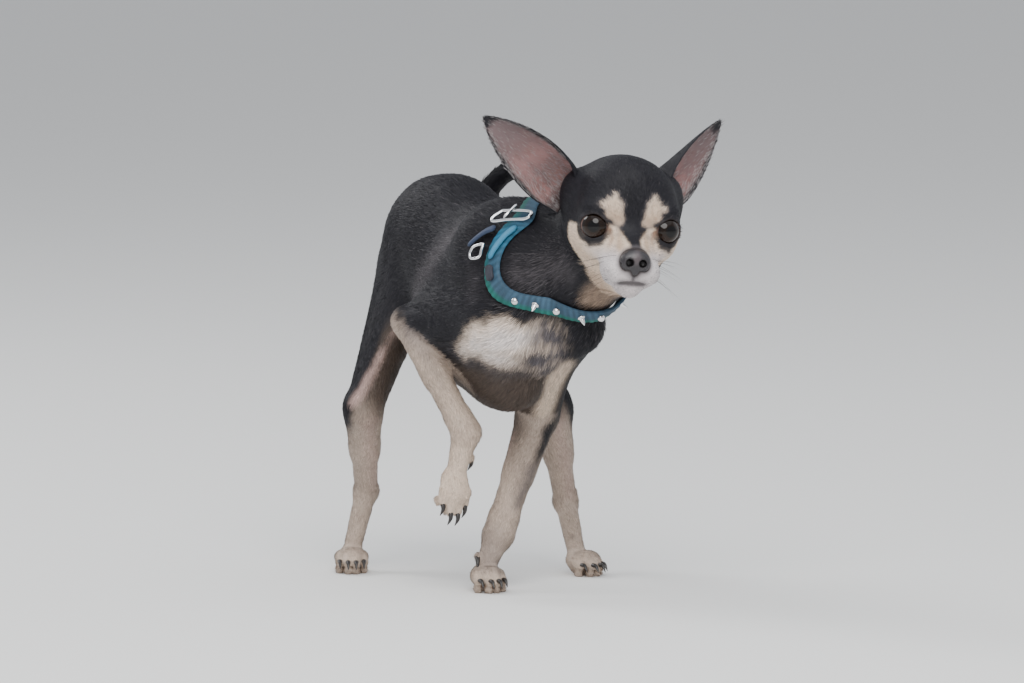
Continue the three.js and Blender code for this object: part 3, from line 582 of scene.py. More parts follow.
# Points on both faces of an ear, with each one's height and angle as shares of the whole
def earShell(root, tip, opening, bow):
    axis = tip - root
    open_ = unit(opening - axis * (opening @ axis) / (axis @ axis))
    across = np.cross(unit(axis), open_)
    rows, columns = ear["rows"], ear["columns"]
    heights = np.sin(np.linspace(0, math.pi / 2, rows)) ** 1.25
    points, share = [], []
    for t in heights:
        arc = math.radians(smoothed(t, 2))
        radius = smoothed(t, 1) * ear["width"] / math.sin(min(arc, math.pi / 2))
        centre = root + axis * t + across * bow * math.sin(t * math.pi) + open_ * 3 * t * t
        thick = ear["thick"] * (1 - 0.45 * t)
        for face in (0, 1):
            sweepBack = np.linspace(-1, 1, columns) if face == 0 else np.linspace(1, -1, columns)
            for k in sweepBack:
                ripple = 0.35 * math.sin(9 * t + 5 * k) * (1 - abs(k)) * math.sin(math.pi * t)
                fold = -1.4 * math.exp(-((abs(k) - 0.82) / 0.09) ** 2) * math.exp(-((t - 0.2) / 0.12) ** 2)
                edge = 1 - 0.5 * abs(k) ** 12
                r = radius + ripple + (0.3 + thick * edge if face else 0.3 - fold * 0.4)
                angle = arc * k * 0.985
                points.append(centre + across * r * math.sin(angle)
                              + open_ * (radius * math.cos(arc) - r * math.cos(angle)))
                share.append((t, k, face))
    ring = 2 * columns
    quads = []
    for row in range(rows - 1):
        for k in range(ring):
            a, b = row * ring + k, row * ring + (k + 1) % ring
            quads.append((a, b, b + ring, a + ring))
    cap = (rows - 1) * ring
    for k in range(columns - 1):
        quads.append((cap + k, cap + k + 1, cap + ring - 2 - k, cap + ring - 1 - k))
        quads.append((k + 1, k, ring - 1 - k, ring - 2 - k))
    return np.array(points), np.array(quads), np.array(share)


earShells = [earShell(**one) for one in ears]


# Faces of a tube, closed on itself or capped by two points more
def tubeFaces(rows, sides, loop=False):
    faces = []
    for row in range(rows if loop else rows - 1):
        after = (row + 1) % rows
        for k in range(sides):
            n = (k + 1) % sides
            faces.append((row * sides + k, row * sides + n, after * sides + n, after * sides + k))
    if not loop:
        first, last = rows * sides, rows * sides + 1
        for k in range(sides):
            n = (k + 1) % sides
            faces.append((first, n, k))
            faces.append((last, (rows - 1) * sides + k, (rows - 1) * sides + n))
    return faces


# Round things swept along a line: claws, whiskers and wires
def swept(line, radii, sides, up=(0, 0, 1), flat=1.0, loop=False):
    line, radii = np.asarray(line), np.asarray(radii)
    tangent = np.gradient(line, axis=0)
    if loop:
        tangent = np.roll(line, -1, axis=0) - np.roll(line, 1, axis=0)
    tangent /= np.maximum(np.linalg.norm(tangent, axis=1), 1e-9)[:, None]
    side = np.cross(np.asarray(up, dtype=float), tangent)
    side /= np.maximum(np.linalg.norm(side, axis=1), 1e-6)[:, None]
    top = np.cross(tangent, side)
    turn = np.arange(sides) / sides * 2 * math.pi
    points = (line[:, None] + side[:, None] * (np.cos(turn)[:, None] * radii[:, None, None])
              + top[:, None] * (np.sin(turn)[:, None] * radii[:, None, None] * flat)).reshape(-1, 3)
    if not loop:
        points = np.vstack([points, line[0], line[-1]])
    return points, tubeFaces(len(line), sides, loop)


def joined(name, parts):
    points, faces, start = [], [], 0
    for some, quads in parts:
        points.append(some)
        faces += [tuple(int(i) + start for i in quad) for quad in quads]
        start += len(some)
    mesh = bpy.data.meshes.new(name)
    mesh.from_pydata(inFrame(np.vstack(points)).tolist(), [], faces)
    mesh.shade_smooth()
    return placed(name, mesh)


claw = {"length": 8.4, "radius": 1.5}


def clawOn(start, direction, down):
    length = claw["length"]
    path = curveThrough([start, start + direction * length * 0.5,
                         start + direction * length * 0.86 + down * length * 0.42], 12)
    share = np.linspace(0, 1, 12)
    return swept(path, claw["radius"] * (1.12 - share ** 1.4), 14, up=down, flat=0.86)


clawParts = []
for paw in paws.values():
    for root, bend, tip in paw["toes"]:
        clawParts.append(clawOn(tip - paw["sole"] * 0.6 + paw["forward"] * 0.5, paw["forward"], paw["sole"]))
    if paw["dewclaw"]:
        aslant = unit(paw["forward"] + paw["side"] * paw["dewclaw"] * 0.35 + paw["sole"] * 0.7)
        clawParts.append(clawOn(paw["dew"], aslant, paw["sole"]))
claws = joined("claws", clawParts)

# Eyes
def eyeBall(k):
    gaze = gazes[k]
    axes = np.array(eyeAxes(k))
    points, quads = [], []
    rows, ring = 40, 64
    for row in range(1, rows):
        tilt = math.pi * row / rows
        bulge = eye["lens"] * math.exp(-(tilt / 0.62) ** 4)
        for n in range(ring):
            turn = 2 * math.pi * n / ring
            way = np.array((math.cos(tilt), math.sin(tilt) * math.cos(turn), math.sin(tilt) * math.sin(turn)))
            points.append(eyeCentres[k] + (eye["radius"] + bulge) * way @ axes)
    points += [eyeCentres[k] + gaze * (eye["radius"] + eye["lens"]), eyeCentres[k] - gaze * eye["radius"]]
    for row in range(rows - 2):
        for n in range(ring):
            a, b = row * ring + n, row * ring + (n + 1) % ring
            quads.append((a, a + ring, b + ring, b))
    top, low = len(points) - 2, len(points) - 1
    for n in range(ring):
        quads.append((top, n, (n + 1) % ring))
        quads.append((low, (rows - 2) * ring + (n + 1) % ring, (rows - 2) * ring + n))
    if np.linalg.det(axes) < 0:
        quads = [q[::-1] for q in quads]
    return joined(("eyeball_right", "eyeball_left")[k], [(np.array(points), quads)])


eyeballs = [eyeBall(k) for k in (0, 1)]

# Nose leather
noseForms = [headEgg((24.5, 0, -14.5), (5.5, 7.8, 6), 1)]
for s in (-1, 1):
    noseForms.append(headEgg((26, s * 4.8, -16), (3.6, 3.6, 4.6), 2))
noseForms.append(headEgg((25, 0, -20), (3.4, 3, 3.6), 2))
nostrils = []
for s in (-1, 1):
    path = [onHead(33, s * 3.3, -15.4), onHead(27, s * 3.9, -16.2),
            onHead(26.4, s * 6.0, -16.6), onHead(26.4, s * 9.0, -17.2)]
    nostrils += [limb(path[0], path[1], 2.35, 1.9, 1), limb(path[1], path[2], 1.9, 1.1, 1),
                 limb(path[2], path[3], 1.1, 0.4, 1)]
split = [limb(onHead(30.9, 0, -14.6), onHead(30.6, 0, -18), 0.2, 0.45, 1),
         limb(onHead(30.6, 0, -18), onHead(28, 0, -24), 0.45, 0.6, 1)]


def noseAt(x, y, z):
    values = laidDown(noseForms, x, y, z)
    for hole in nostrils:
        values = smoothMax(values, -hole["distance"](x, y, z), 0.9)
    for hole in split:
        values = smoothMax(values, -hole["distance"](x, y, z), 0.7)
    return values


noseCentre = onHead(25, 0, -16)
noseLines = [np.arange(c - 12.2, c + 12.2, 0.42) for c in noseCentre]
nosePoints, noseQuads = netOver(noseAt, noseLines)
nosePoints = drawOnto(noseAt, nosePoints, 0.25)
nose = joined("nose_leather", [(nosePoints, noseQuads)])
print("eyes, nose and claws")


# Markings: colours as functions of the place on the animal
def distanceTo(points, a, b, fromRadius=0.0, toRadius=0.0):
    along = b - a
    t = np.clip((points - a) @ along / (along @ along), 0, 1)
    return np.linalg.norm(points - a - t[:, None] * along, axis=1) - fromRadius - t * (toRadius - fromRadius)


# The distance to the line of the lips
def lipsAt(points):
    return np.min([distanceTo(points, mouthLine[k], mouthLine[k + 1]) for k in range(lipRuns)], axis=0)


# One well inside, nothing well outside, and half at the edge
def soft(distance, width):
    t = np.clip(0.5 - distance / width, 0, 1)
    return t * t * (3 - 2 * t)


# Smooth random swells between -1 and 1
def waves(points, size, seed):
    own = np.random.default_rng(seed)
    total = np.zeros(len(points))
    for octave in range(4):
        for _ in range(3):
            way = unit(own.normal(size=3))
            total += np.sin(points @ way * (2.6 * 1.7 ** octave / size) + own.uniform(0, 6.28)) / (1 + octave)
    return np.clip(total / 4.2, -1, 1)


# The least distance to a run of round masses, each stop a place and a radius
def chain(points, *stops):
    runs = [distanceTo(points, vec(*a[:3]), vec(*b[:3]), a[3], b[3]) for a, b in zip(stops, stops[1:])]
    return np.min(runs, axis=0)


coats = {
    "black": (0.0095, 0.0090, 0.0125),
    # grey hair, and also the tone of painted sheen on the black coat and of painted shade on the tan
    "grizzleSheenAndShade": (0.095, 0.085, 0.092),
    # tan in shade: painted shade on the underside and the inner sides of the legs
    "shadedTan": (0.062, 0.045, 0.036),
    "cream": (0.70, 0.56, 0.44),
    "tan": (0.46, 0.33, 0.24),
    "leg": (0.42, 0.335, 0.275),
    "pink": (0.50, 0.35, 0.31),
    "white": (0.72, 0.68, 0.68),
    "muzzle": (0.52, 0.48, 0.50),
    "rust": (0.16, 0.055, 0.028),
    "rim": (0.018, 0.013, 0.013),
    "earPink": (0.36, 0.185, 0.175),
    "earGrey": (0.15, 0.105, 0.107),
}
coats = {name: np.array(tone) for name, tone in coats.items()}


def over(under, tone, mask):
    return under + (coats[tone] - under) * np.clip(mask, 0, 1)[:, None]


# How far a place lies outside the middle plane of a hind leg
def outsideOf(joints, s, points):
    hip, stifle, hock = (joints[k] for k in ("hip", "stifle", "hock"))
    plane = unit(np.cross(stifle - hip, hock - stifle))
    return (points - stifle) @ plane * s * np.sign(plane[1])


# The colour of the coat at each place. stray moves each place at random, as hairs cross an edge.
def markings(points, stray=0.0):
    if stray:
        points = points + chance.normal(size=points.shape) * stray
    warp = waves(points, 9, 3)[:, None] * (1.2, -0.8, 1.0)
    p = points + warp
    x, z = p[:, 0], p[:, 2]
    colour = np.tile(coats["black"], (len(p), 1))
    # painted sheen: a grey streak down the flank where light catches the black coat
    paintedSheen = chain(p, (6, -26, 208, 4), (-13, -36, 183, 7), (-34, -38, 166, 6), (-30, -40, 150, 3))
    colour = over(colour, "grizzleSheenAndShade", soft(paintedSheen, 14) * 0.5)
    # painted sheen along the shoulder blade
    shoulderSheen = chain(p, (36, -30, 196, 3), (44, -34, 172, 4))
    colour = over(colour, "grizzleSheenAndShade", soft(shoulderSheen, 12) * 0.28)
    # grey hairs on the nape, and a painted sheen on the side of the neck
    napeGreyAndSheen = chain(p, (66, -20, 186, 4), (78, -16, 188, 7), (92, -4, 190, 6))
    colour = over(colour, "grizzleSheenAndShade", soft(napeGreyAndSheen + 4 * waves(p * (1, 1, 0.4), 4, 41), 16) * 0.5)
    # belly, brisket and the inside of the thighs, their tan painted dark as shade on the underside
    under = soft(z - 131 - 6 * np.clip(-x - 10, 0, 60) / 20, 13) * soft(x - 70, 10) * soft(-110 - x, 20)
    colour = over(colour, "shadedTan", under)
    for s, joints in ((-1, rightJoints), (1, leftJoints)):
        onLeg = soft(chain(p, (*joints["hip"], 18), (*joints["stifle"], 14)) - 4, 8)
        outward = outsideOf(joints, s, p)
        colour = over(colour, "black", onLeg * soft(-outward - 1, 6))
        # painted shade: the inside of each thigh darkened
        inner = soft(outward + 1, 6) * soft(z - 150, 16) * soft(x + 30, 14)
        colour = over(colour, "shadedTan", inner * onLeg * 0.9)
    # chest
    right = chain(p, (27, -34, 139, 3.5), (46, -32, 146, 11), (62, -25, 150, 12), (70, -14, 152, 8))
    right = np.minimum(right, chain(p, (46, -27, 139, 9), (56, -22, 140, 9)))
    right = right + 1.8 * waves(points, 5, 5) + 1.2 * waves(points, 2.4, 6)
    below = soft(z - 142, 12)
    colour = over(colour, "grizzleSheenAndShade", soft(right - 6, 14) * 0.55 * below)
    colour = over(colour, "cream", soft(right + 1.5 * below, 9 + 5 * below))
    colour = over(colour, "white", soft(right + 4, 12) * 0.8)
    centre = chain(p, (73, -6, 152, 9), (66, -2, 138, 9))
    colour = over(colour, "grizzleSheenAndShade", soft(centre, 14) * 0.95)
    streaks = np.clip(0.3 + waves(points * (1, 1, 0.35), 3, 9), 0, 1)
    colour = over(colour, "cream", soft(centre - 2, 14) * streaks * 0.45)
    left = chain(p, (64, 11, 140, 4), (56, 12, 130, 8), (38, 16, 114, 7), (22, 19, 102, 5))
    colour = over(colour, "cream", soft(left, 8) * 0.8)
    throat = chain(p, (112, 14, 181, 9), (96, 14, 176, 9))
    colour = over(colour, "tan", soft(throat, 9) * 0.62)
    # forelegs
    foreRight = chain(p, (-24, -44, 152, 8), (-4, -38, 128, 9), (17, -28, 92, 12), (16, -33, 60, 20))
    shown = soft(foreRight - 3.5, 3) * soft(z - 150 + 0.25 * (x + 24), 10)
    colour = over(colour, "leg", shown)
    colour = over(colour, "cream", shown * soft(foreRight + 5, 12) * soft(z - 124, 14) * 0.45)
    smudge = chain(p, (-2, -46, 137, 2.5), (4, -42, 128, 3), (9, -38, 119, 1.5))
    colour = over(colour, "black", soft(smudge, 7) * 0.6 * shown)
    edge = chain(p, (2, -40, 150, 5), (14, -36, 141, 4))
    colour = over(colour, "black", soft(edge, 7) * shown)
    elbowCap = chain(p, (-24, -50, 152, 5), (-14, -48, 140, 4))
    colour = over(colour, "leg", soft(elbowCap + 1.5 * waves(points, 4, 44), 10) * 0.75)
    colour = over(colour, "grizzleSheenAndShade", soft(chain(p, (-14, -48, 146, 2), (2, -44, 138, 3)) - 2, 10) * 0.5)
    foreLeft = chain(p, (5, 24, 98, 16), (3, 0, 31, 16), (12, -12, 8, 22))
    lower = soft(foreLeft, 4) * soft(z - 106, 12)
    colour = over(colour, "leg", lower)
    band = chain(p, (52, 30, 150, 9), (30, 30, 124, 8), (14, 30, 103, 6), (12, 22, 80, 4), (10, 16, 66, 2))
    colour = over(colour, "black", soft(band, 6) * soft(68 - z, 20))
    # painted shade: the upper left forearm, under the chest, darkened
    inwardShade = chain(p, (3, 14, 100, 9), (6, 14, 72, 6), (10, 10, 52, 2))
    colour = over(colour, "shadedTan", soft(inwardShade, 13) * 0.72 * lower)
    ankle = chain(p, (4, -4, 30, 8), (10, -8, 14, 10))
    colour = over(colour, "grizzleSheenAndShade", soft(ankle + 3 * waves(points, 7, 46), 14) * 0.35 * lower)
    # painted highlight down the front ridge of the left forearm
    forearmHighlight = chain(p, (24, 2, 70, 1.5), (20, -6, 46, 1.5), (14, -10, 24, 1))
    colour = over(colour, "cream", soft(forearmHighlight, 5) * 0.35 * lower)
    colour = over(colour, "pink",
                  soft(chain(p, (4, 8, 88, 2), (-4, -2, 60, 2), (-6, -6, 36, 1)), 8) * 0.5 * lower)
    colour = over(colour, "grizzleSheenAndShade", soft(chain(p, (12, 16, 68, 4), (10, 8, 48, 2)), 8) * 0.6)
    # hind legs
    for s, joints in ((-1, rightJoints), (1, leftJoints)):
        stifle, hock = joints["stifle"], joints["hock"]
        outward = np.clip(outsideOf(joints, s, p) / 8, -1, 1)
        paw = vec(hock[0] + 14, hock[1], 6)
        low = chain(p, (*stifle, 18), (*between(stifle, hock, 0.5), 17), (*hock, 14), (*paw, 26))
        fade = soft(z - 100 + 20 * np.clip(outward, 0, 1) - 8 * waves(points, 14, 50), 26)
        colour = over(colour, "leg", soft(low, 4) * fade)
        shade = soft(94 - z, 34) * soft(z - 150, 20) * soft(low, 6) * soft(outward, 1)
        colour = over(colour, "shadedTan", shade * 0.6)
        shin = chain(p, (*(stifle + (8, 0, -8)), 3), (*(hock + (10, 0, 6)), 3))
        colour = over(colour, "pink", soft(shin, 12) * 0.5)
        # painted shade: darker strips down the back of each hock
        heel = chain(p, (*(hock + (-8, 0, 16)), 4), (*(hock + (-5, 0, -16)), 3))
        colour = over(colour, "grizzleSheenAndShade", soft(heel + 2 * waves(points, 6, 47), 10) * 0.4)
        hockShade = chain(p, (*(hock + (-6, 0, 8)), 2), (*(hock + (-2, 0, -14)), 1.5))
        colour = over(colour, "grizzleSheenAndShade", soft(hockShade, 8) * 0.55)
    ridge = chain(p, (-53, -36, 145, 1.5), (-54, -50, 124, 2.5), (-56, -62, 106, 4))
    colour = over(colour, "pink", soft(ridge, 6) * 0.95)
    outer = chain(p, (-70, -58, 132, 6), (-72, -66, 108, 3))
    colour = over(colour, "black", soft(outer, 8) * 0.9)
    for spot in ((-39, 70, 22), (-104, -38, 28), (-50, 66, 70)):
        colour = over(colour, "black", soft(np.linalg.norm(p - vec(*spot), axis=1) - 1.5, 3) * 0.5)
    for paw in paws.values():
        toes = np.min([distanceTo(p, root, tip, 5, 4) for root, _, tip in paw["toes"]], axis=0)
        colour = over(colour, "cream", soft(toes, 5) * 0.3)
    # tail
    tail = np.min([distanceTo(p, tailLine[k], tailLine[k + 1], 9, 9) for k in range(tailRuns)], axis=0)
    colour = over(colour, "black", soft(tail, 4))
    return faceMarkings(points, colour)


# The tan points, dark rims and grey muzzle, in the head's own directions
def faceMarkings(points, colour):
    h = (points - eyes) @ headTurn
    h = h + waves(h, 5, 8)[:, None] * (0.5, 0.5, 0.6)
    x, y, z = h.T
    side = np.abs(y)
    onFace = soft(-(x + 22), 6) * soft(np.linalg.norm(h - (-5, 0, 0), axis=1) - 52, 6)
    flat = np.column_stack([np.zeros(len(h)), side, z])
    # cheeks and muzzle
    cheek = soft(z + 1.5 - 0.12 * (x + 14), 2.4) * soft(-(x + 17 - 0.18 * (z + 20)), 4)
    tucked = 16 * soft(z + 12, 8)
    cheek = cheek * soft(4.6 - side - tucked - 0.62 * np.clip(x - 14, -30, 9), 2.2) * onFace
    jaw = soft(z + 28, 4) * soft(-(x + 20), 6) * onFace
    light = np.maximum(cheek, jaw)
    colour = over(colour, "cream", light)
    colour = over(colour, "tan", light * soft(-(x - 10), 6) * soft(z + 13, 5) * soft(side - 11, 4) * 0.5)
    colour = over(colour, "tan", light * soft(x + 6, 16) * soft(z + 27, 8) * 0.75)
    melting = soft(-(x - 5) + 2 * waves(points, 3, 48), 16) * soft(z + 11, 9)
    colour = over(colour, "muzzle", light * melting * 0.85)
    colour = over(colour, "white", light * soft(-(x - 6), 9) * soft(z + 15, 6) * soft(9 - side, 6) * 0.4)
    jowl = chain(flat, (0, 16.5, -21, 2.5), (0, 13.5, -27, 2)) + 0 * x
    colour = over(colour, "grizzleSheenAndShade", light * soft(jowl, 7) * soft(-(x - 8), 8) * 0.3)
    bridge = (soft(side - 4.2 + 0.1 * np.clip(x - 12, 0, 14), 2.2)
              * soft(-(x - 4), 6) * soft(-z - 12, 3) * onFace)
    colour = over(colour, "black", bridge)
    sideOfNose = chain(flat, (0, 7, -3, 1.2), (0, 7.5, -9, 2.2)) + 0 * x
    colour = over(colour, "tan", soft(sideOfNose, 3) * soft(-(x - 8), 5) * soft(x - 21, 5) * 0.75)
    # brow spots
    brow = np.minimum(chain(flat, (0, 10.8, 17.5, 1.2), (0, 11.3, 12.6, 4.2), (0, 8.2, 4.5, 2.6)),
                      chain(flat, (0, 11.3, 12.6, 3.2), (0, 17.6, 12.2, 1.0)))
    brow = np.minimum(brow, chain(flat, (0, 11.8, 11, 4.0), (0, 12.4, 7.4, 2.6)))
    brow = brow + 0.7 * waves(points, 2.2, 45)
    colour = over(colour, "grizzleSheenAndShade", soft(brow - 1.2, 3.5) * onFace * soft(-x, 6) * 0.7)
    colour = over(colour, "cream", soft(brow, 3.2) * onFace * soft(-x, 6) * 0.9)
    colour = over(colour, "tan", soft(brow, 3.0) * soft(z - 9, 8) * 0.75 * onFace * soft(-x, 6))
    colour = over(colour, "tan", soft(brow + 1.5, 3.0) * 0.25 * onFace * soft(-x, 6))
    # dark skin round the eyes, and the stain at each inner corner
    for k in (0, 1):
        u, v, w = inAxes(*points.T, eyeCentres[k], eyeAxes(k))
        almond = almondAt(v, w)
        near = soft(np.sqrt(u * u + v * v + w * w) - 17, 4) * soft(-u, 3)
        ring = soft(almond - 1.2 - 1.9 * soft(w, 2) - 1.1 * soft(-v, 3), 2.0) * near
        colour = over(colour, "black", ring * 0.93)
        fleck = np.clip(waves(points, 1.6, 12), 0, 1)
        colour = over(colour, "grizzleSheenAndShade", ring * fleck * 0.35)
        colour = over(colour, "rim", soft(almond - 0.9, 1.2) * near)
    triangle = chain(flat, (0, 20.5, -7, 5.6), (0, 22.4, -11, 1.2))
    colour = over(colour, "black", soft(triangle, 2.4) * onFace * soft(-x - 6, 4) * 0.9)
    for s in (-1, 1):
        stain = chain(h, (8.4, s * 12.4, -1, 0.8), (10.4, s * 11.2, -5.5, 0.7), (11.6, s * 13.2, -9.8, 0.5))
        colour = over(colour, "rust", soft(stain, 2.0) * 0.95)
        colour = over(colour, "tan", soft(stain - 1.5, 3.5) * 0.3)
        inner = chain(h, (10, s * 9, 2, 1), (11, s * 9.5, -3, 1.5))
        colour = over(colour, "grizzleSheenAndShade", soft(inner, 4) * 0.7)
    lips = lipsAt(points)
    front = soft(side - 8.5, 4)
    upperLip = soft(-(z + 30.2), 2.2)
    shade = soft(lips - 3.4, 5) * front * upperLip
    colour = over(colour, "grizzleSheenAndShade", shade * 0.8)
    dark = soft(lips - 0.7 - 1.4 * front * upperLip, 1.5)
    colour = over(colour, "rim", dark * np.clip(front + 0.5 * soft(6 - x, 8), 0, 1))
    seam = chain(h, (31, 0, -18, 0.4), (27, 0, -24, 0.5), (24, 0, -29, 0.8))
    colour = over(colour, "rim", soft(seam - 0.5, 1.4) * 0.9)
    aroundNose = noseAt(*points.T)
    colour = over(colour, "grizzleSheenAndShade", soft(aroundNose - 2.0, 3.0) * 0.7)
    # the skin at the nose leather's edge and under it near black, as painted shade where it shows through the
    # nostrils
    colour = over(colour, "rim", soft(aroundNose - 0.7, 1.4))
    return colour


def earMarkings(share, points, forward):
    t, k, face = share.T
    colour = np.tile(coats["black"], (len(share), 1))
    inside = (face == 0).astype(float)
    lead = np.where(forward > 0, k, -k)
    reach = np.abs(k) + 0.05 * waves(points, 5, 22) + np.clip(lead, 0, 1) * (0.12 + 0.26 * soft(t - 0.5, 0.6))
    rim = soft(0.86 - reach, 0.16)
    inner = np.clip(inside * (1 - rim) * soft(t - 0.9 + 0.06 * waves(points, 4, 23), 0.1), 0, 1)
    colour = over(colour, "earGrey", inner)
    blush = inner * soft(t - 0.55, 0.5) * np.clip(0.7 + 0.6 * waves(points, 9, 21), 0, 1)
    colour = over(colour, "earPink", blush * 0.85)
    veins = np.exp(-((waves(points, 6, 24) - 0.1) / 0.09) ** 2)
    colour = over(colour, "rust", inner * veins * 0.22 * soft(t - 0.7, 0.3))
    ridges = np.exp(-((lead - 0.25 - 0.25 * t) / 0.07) ** 2) + np.exp(-((lead + 0.3) / 0.06) ** 2)
    colour = over(colour, "grizzleSheenAndShade", inner * ridges * soft(t - 0.5, 0.3) * 0.35)
    # painted shade: the inside of the ear darkens into the hollow at its root
    colour = over(colour, "rim", inner * soft(t - 0.12, 0.14) * 0.85)
    return colour


def tint(mesh, tones):
    layer = mesh.color_attributes.new("marking", "FLOAT_COLOR", "POINT")
    layer.data.foreach_set("color", np.column_stack([tones, np.ones(len(tones))]).astype(np.float32).ravel())


# The skin as one mesh, with its markings and an unwrap of its own shape
def quickMesh(name, points, faces, sides, colours, uvs):
    mesh = bpy.data.meshes.new(name)
    mesh.vertices.add(len(points))
    mesh.vertices.foreach_set("co", inFrame(points).astype(np.float32).ravel())
    mesh.loops.add(len(faces))
    mesh.loops.foreach_set("vertex_index", faces.astype(np.int32))
    starts = np.concatenate([[0], np.cumsum(sides)[:-1]])
    mesh.polygons.add(len(sides))
    mesh.polygons.foreach_set("loop_start", starts.astype(np.int32))
    mesh.update(calc_edges=True)
    layer = mesh.uv_layers.new(name="OFBake")
    layer.data.foreach_set("uv", uvs.astype(np.float32).ravel())
    tint(mesh, colours)
    mesh.shade_smooth()
    return placed(name, mesh)


def normalsOf(points, quads):
    across = points[quads[:, 2]] - points[quads[:, 0]]
    up = points[quads[:, 3]] - points[quads[:, 1]]
    face = np.cross(across, up)
    total = np.zeros_like(points)
    for k in range(4):
        np.add.at(total, quads[:, k], face)
    return total / np.maximum(np.linalg.norm(total, axis=1), 1e-9)[:, None], face


bodyCount = len(skinPoints)
allPoints, allQuads, earShares = [skinPoints], [skinQuads], []
count = bodyCount
for points, quads, share in earShells:
    allPoints.append(points)
    allQuads.append(quads + count)
    earShares.append(share)
    count += len(points)
allPoints, allQuads = np.vstack(allPoints), np.vstack(allQuads)
allNormals, faceNormals = normalsOf(allPoints, allQuads)
tones = np.vstack([markings(skinPoints)] + [
    earMarkings(share, points, 1 - 2 * n)
    for n, ((points, _, _), share) in enumerate(zip(earShells, earShares))])

# Lines that the hair follows, from its root side to its tip side. Each also marks a region.
lies = []


def lie(region, *stops):
    for a, b in zip(stops, stops[1:]):
        lies.append((region, np.asarray(a, dtype=float), np.asarray(b, dtype=float)))


lie("trunk", (62, 0, 200), (30, 0, 214), (-40, -3, 224), (-98, 2, 216))
for s in (-1, 1):
    lie("trunk", (58, s * 26, 176), (10, s * 38, 172), (-50, s * 30, 178), (-86, s * 24, 176))
    lie("trunk", (50, s * 24, 150), (10, s * 34, 138), (-50, s * 22, 146))
lie("trunk", (52, -3, 126), (22, -4, 108), (-30, -2, 134), (-80, 0, 150))
lie("trunk", (84, 0, 176), (74, -3, 158), (62, -3, 134), (44, -4, 112))
lie("trunk", (-100, 2, 214), (-112, 0, 190), (-108, 0, 160))
lie("neck", (100, 30, 228), (70, 16, 228), (40, 2, 222))
lie("neck", (104, 4, 204), (84, -14, 186), (62, -26, 172))
lie("neck", (96, 52, 204), (76, 38, 188), (58, 30, 172))
lie("neck", (116, 18, 178), (96, 10, 168), (80, 0, 160))
for s, joints in ((-1, rightJoints), (1, leftJoints)):
    name = ("right", "left")[(s + 1) // 2]
    shoulder, elbow, wrist = joints["shoulder"], joints["elbow"], joints["wrist"]
    out = np.array((0, s * 12, 0))
    lie("foreleg_" + name, shoulder + out, elbow + out * 0.4)
    lie("foreleg_" + name, elbow, wrist)
    lie("hindleg_" + name, joints["hip"] + out * 1.6 + (10, 0, 0), joints["stifle"] + out)
    lie("hindleg_" + name, joints["ischium"] + out, between(joints["stifle"], joints["hock"], 0.3))
    lie("hindleg_" + name, joints["stifle"], joints["hock"])
for name, paw in paws.items():
    lie(name, paw["joint"], paw["knuckle"])
    for root, bend, tip in paw["toes"]:
        lie(name, root, bend, tip)
for k in range(0, tailRuns, 3):
    lie("tail", tailLine[k], tailLine[k + 3])
lie("head", onHead(21, 0, -6), onHead(8, 0, 8), onHead(4, 0, 26),
    onHead(-14, 0, 38), onHead(-44, 0, 34), onHead(-66, 0, 14))
for s in (-1, 1):
    lie("head", onHead(26, s * 7, -22), onHead(12, s * 16, -22),
        onHead(-14, s * 30, -16), onHead(-40, s * 32, -14))
    lie("head", onHead(20, s * 4, -33), onHead(-6, s * 12, -36), onHead(-32, s * 18, -36))
    lie("head", onHead(8, s * 10, 6), onHead(2, s * 22, 22), onHead(-18, s * 34, 26))
    lie("head", onHead(18, s * 8, -8), onHead(4, s * 28, -8), onHead(-14, s * 34, 0), onHead(-36, s * 34, 8))
regions = sorted({one[0] for one in lies}) + ["ear_left", "ear_right"]


# The way the coat lies at each place, and the region that the place belongs to
def lieAt(points):
    way = np.zeros_like(points)
    best = np.full(len(points), 1e9)
    region = np.zeros(len(points), dtype=int)
    for name, a, b in lies:
        reach = distanceTo(points, a, b)
        reach = reach - (4 if name in paws and a[2] < 75 else 0)
        way += unit(b - a) * np.exp(-np.maximum(reach, 0) / 5.5)[:, None]
        closer = reach < best
        best[closer] = reach[closer]
        region[closer] = regions.index(name)
    return way / np.maximum(np.linalg.norm(way, axis=1), 1e-12)[:, None], region


faceCentres = allPoints[allQuads].mean(axis=1)
faceWays, faceRegion = lieAt(faceCentres)
start = len(skinQuads)
for n, (points, quads, share) in enumerate(earShells):
    faceRegion[start:start + len(quads)] = regions.index(("ear_right", "ear_left")[n])
    faceWays[start:start + len(quads)] = unit(ears[n]["tip"] - ears[n]["root"])
    start += len(quads)

# Each region's faces are laid flat along the side that they face most, in rows over the square
turns = {name: np.eye(3) for name in regions}
turns["head"] = headTurn
charts = []
faceChart = np.zeros(len(allQuads), dtype=int)
flatPlaces = np.zeros((len(allQuads), 4, 2))
for n, name in enumerate(regions):
    chosen = np.nonzero(faceRegion == n)[0]
    if not len(chosen):
        continue
    turned = faceNormals[chosen] @ turns[name]
    most = np.abs(turned).argmax(axis=1)
    sign = np.take_along_axis(turned, most[:, None], axis=1)[:, 0] > 0
    for axis in range(3):
        for positive in (False, True):
            some = chosen[(most == axis) & (sign == positive)]
            if not len(some):
                continue
            kept = [k for k in range(3) if k != axis]
            places = (allPoints[allQuads[some]] @ turns[name])[:, :, kept]
            low = places.reshape(-1, 2).min(axis=0)
            flatPlaces[some] = places - low + 1
            faceChart[some] = len(charts)
            charts.append(places.reshape(-1, 2).max(axis=0) - low + 2)
sizes = np.array(charts)
wide = math.sqrt((sizes[:, 0] * sizes[:, 1]).sum()) * 1.12
spots = np.zeros_like(sizes)
across = upward = tallest = 0
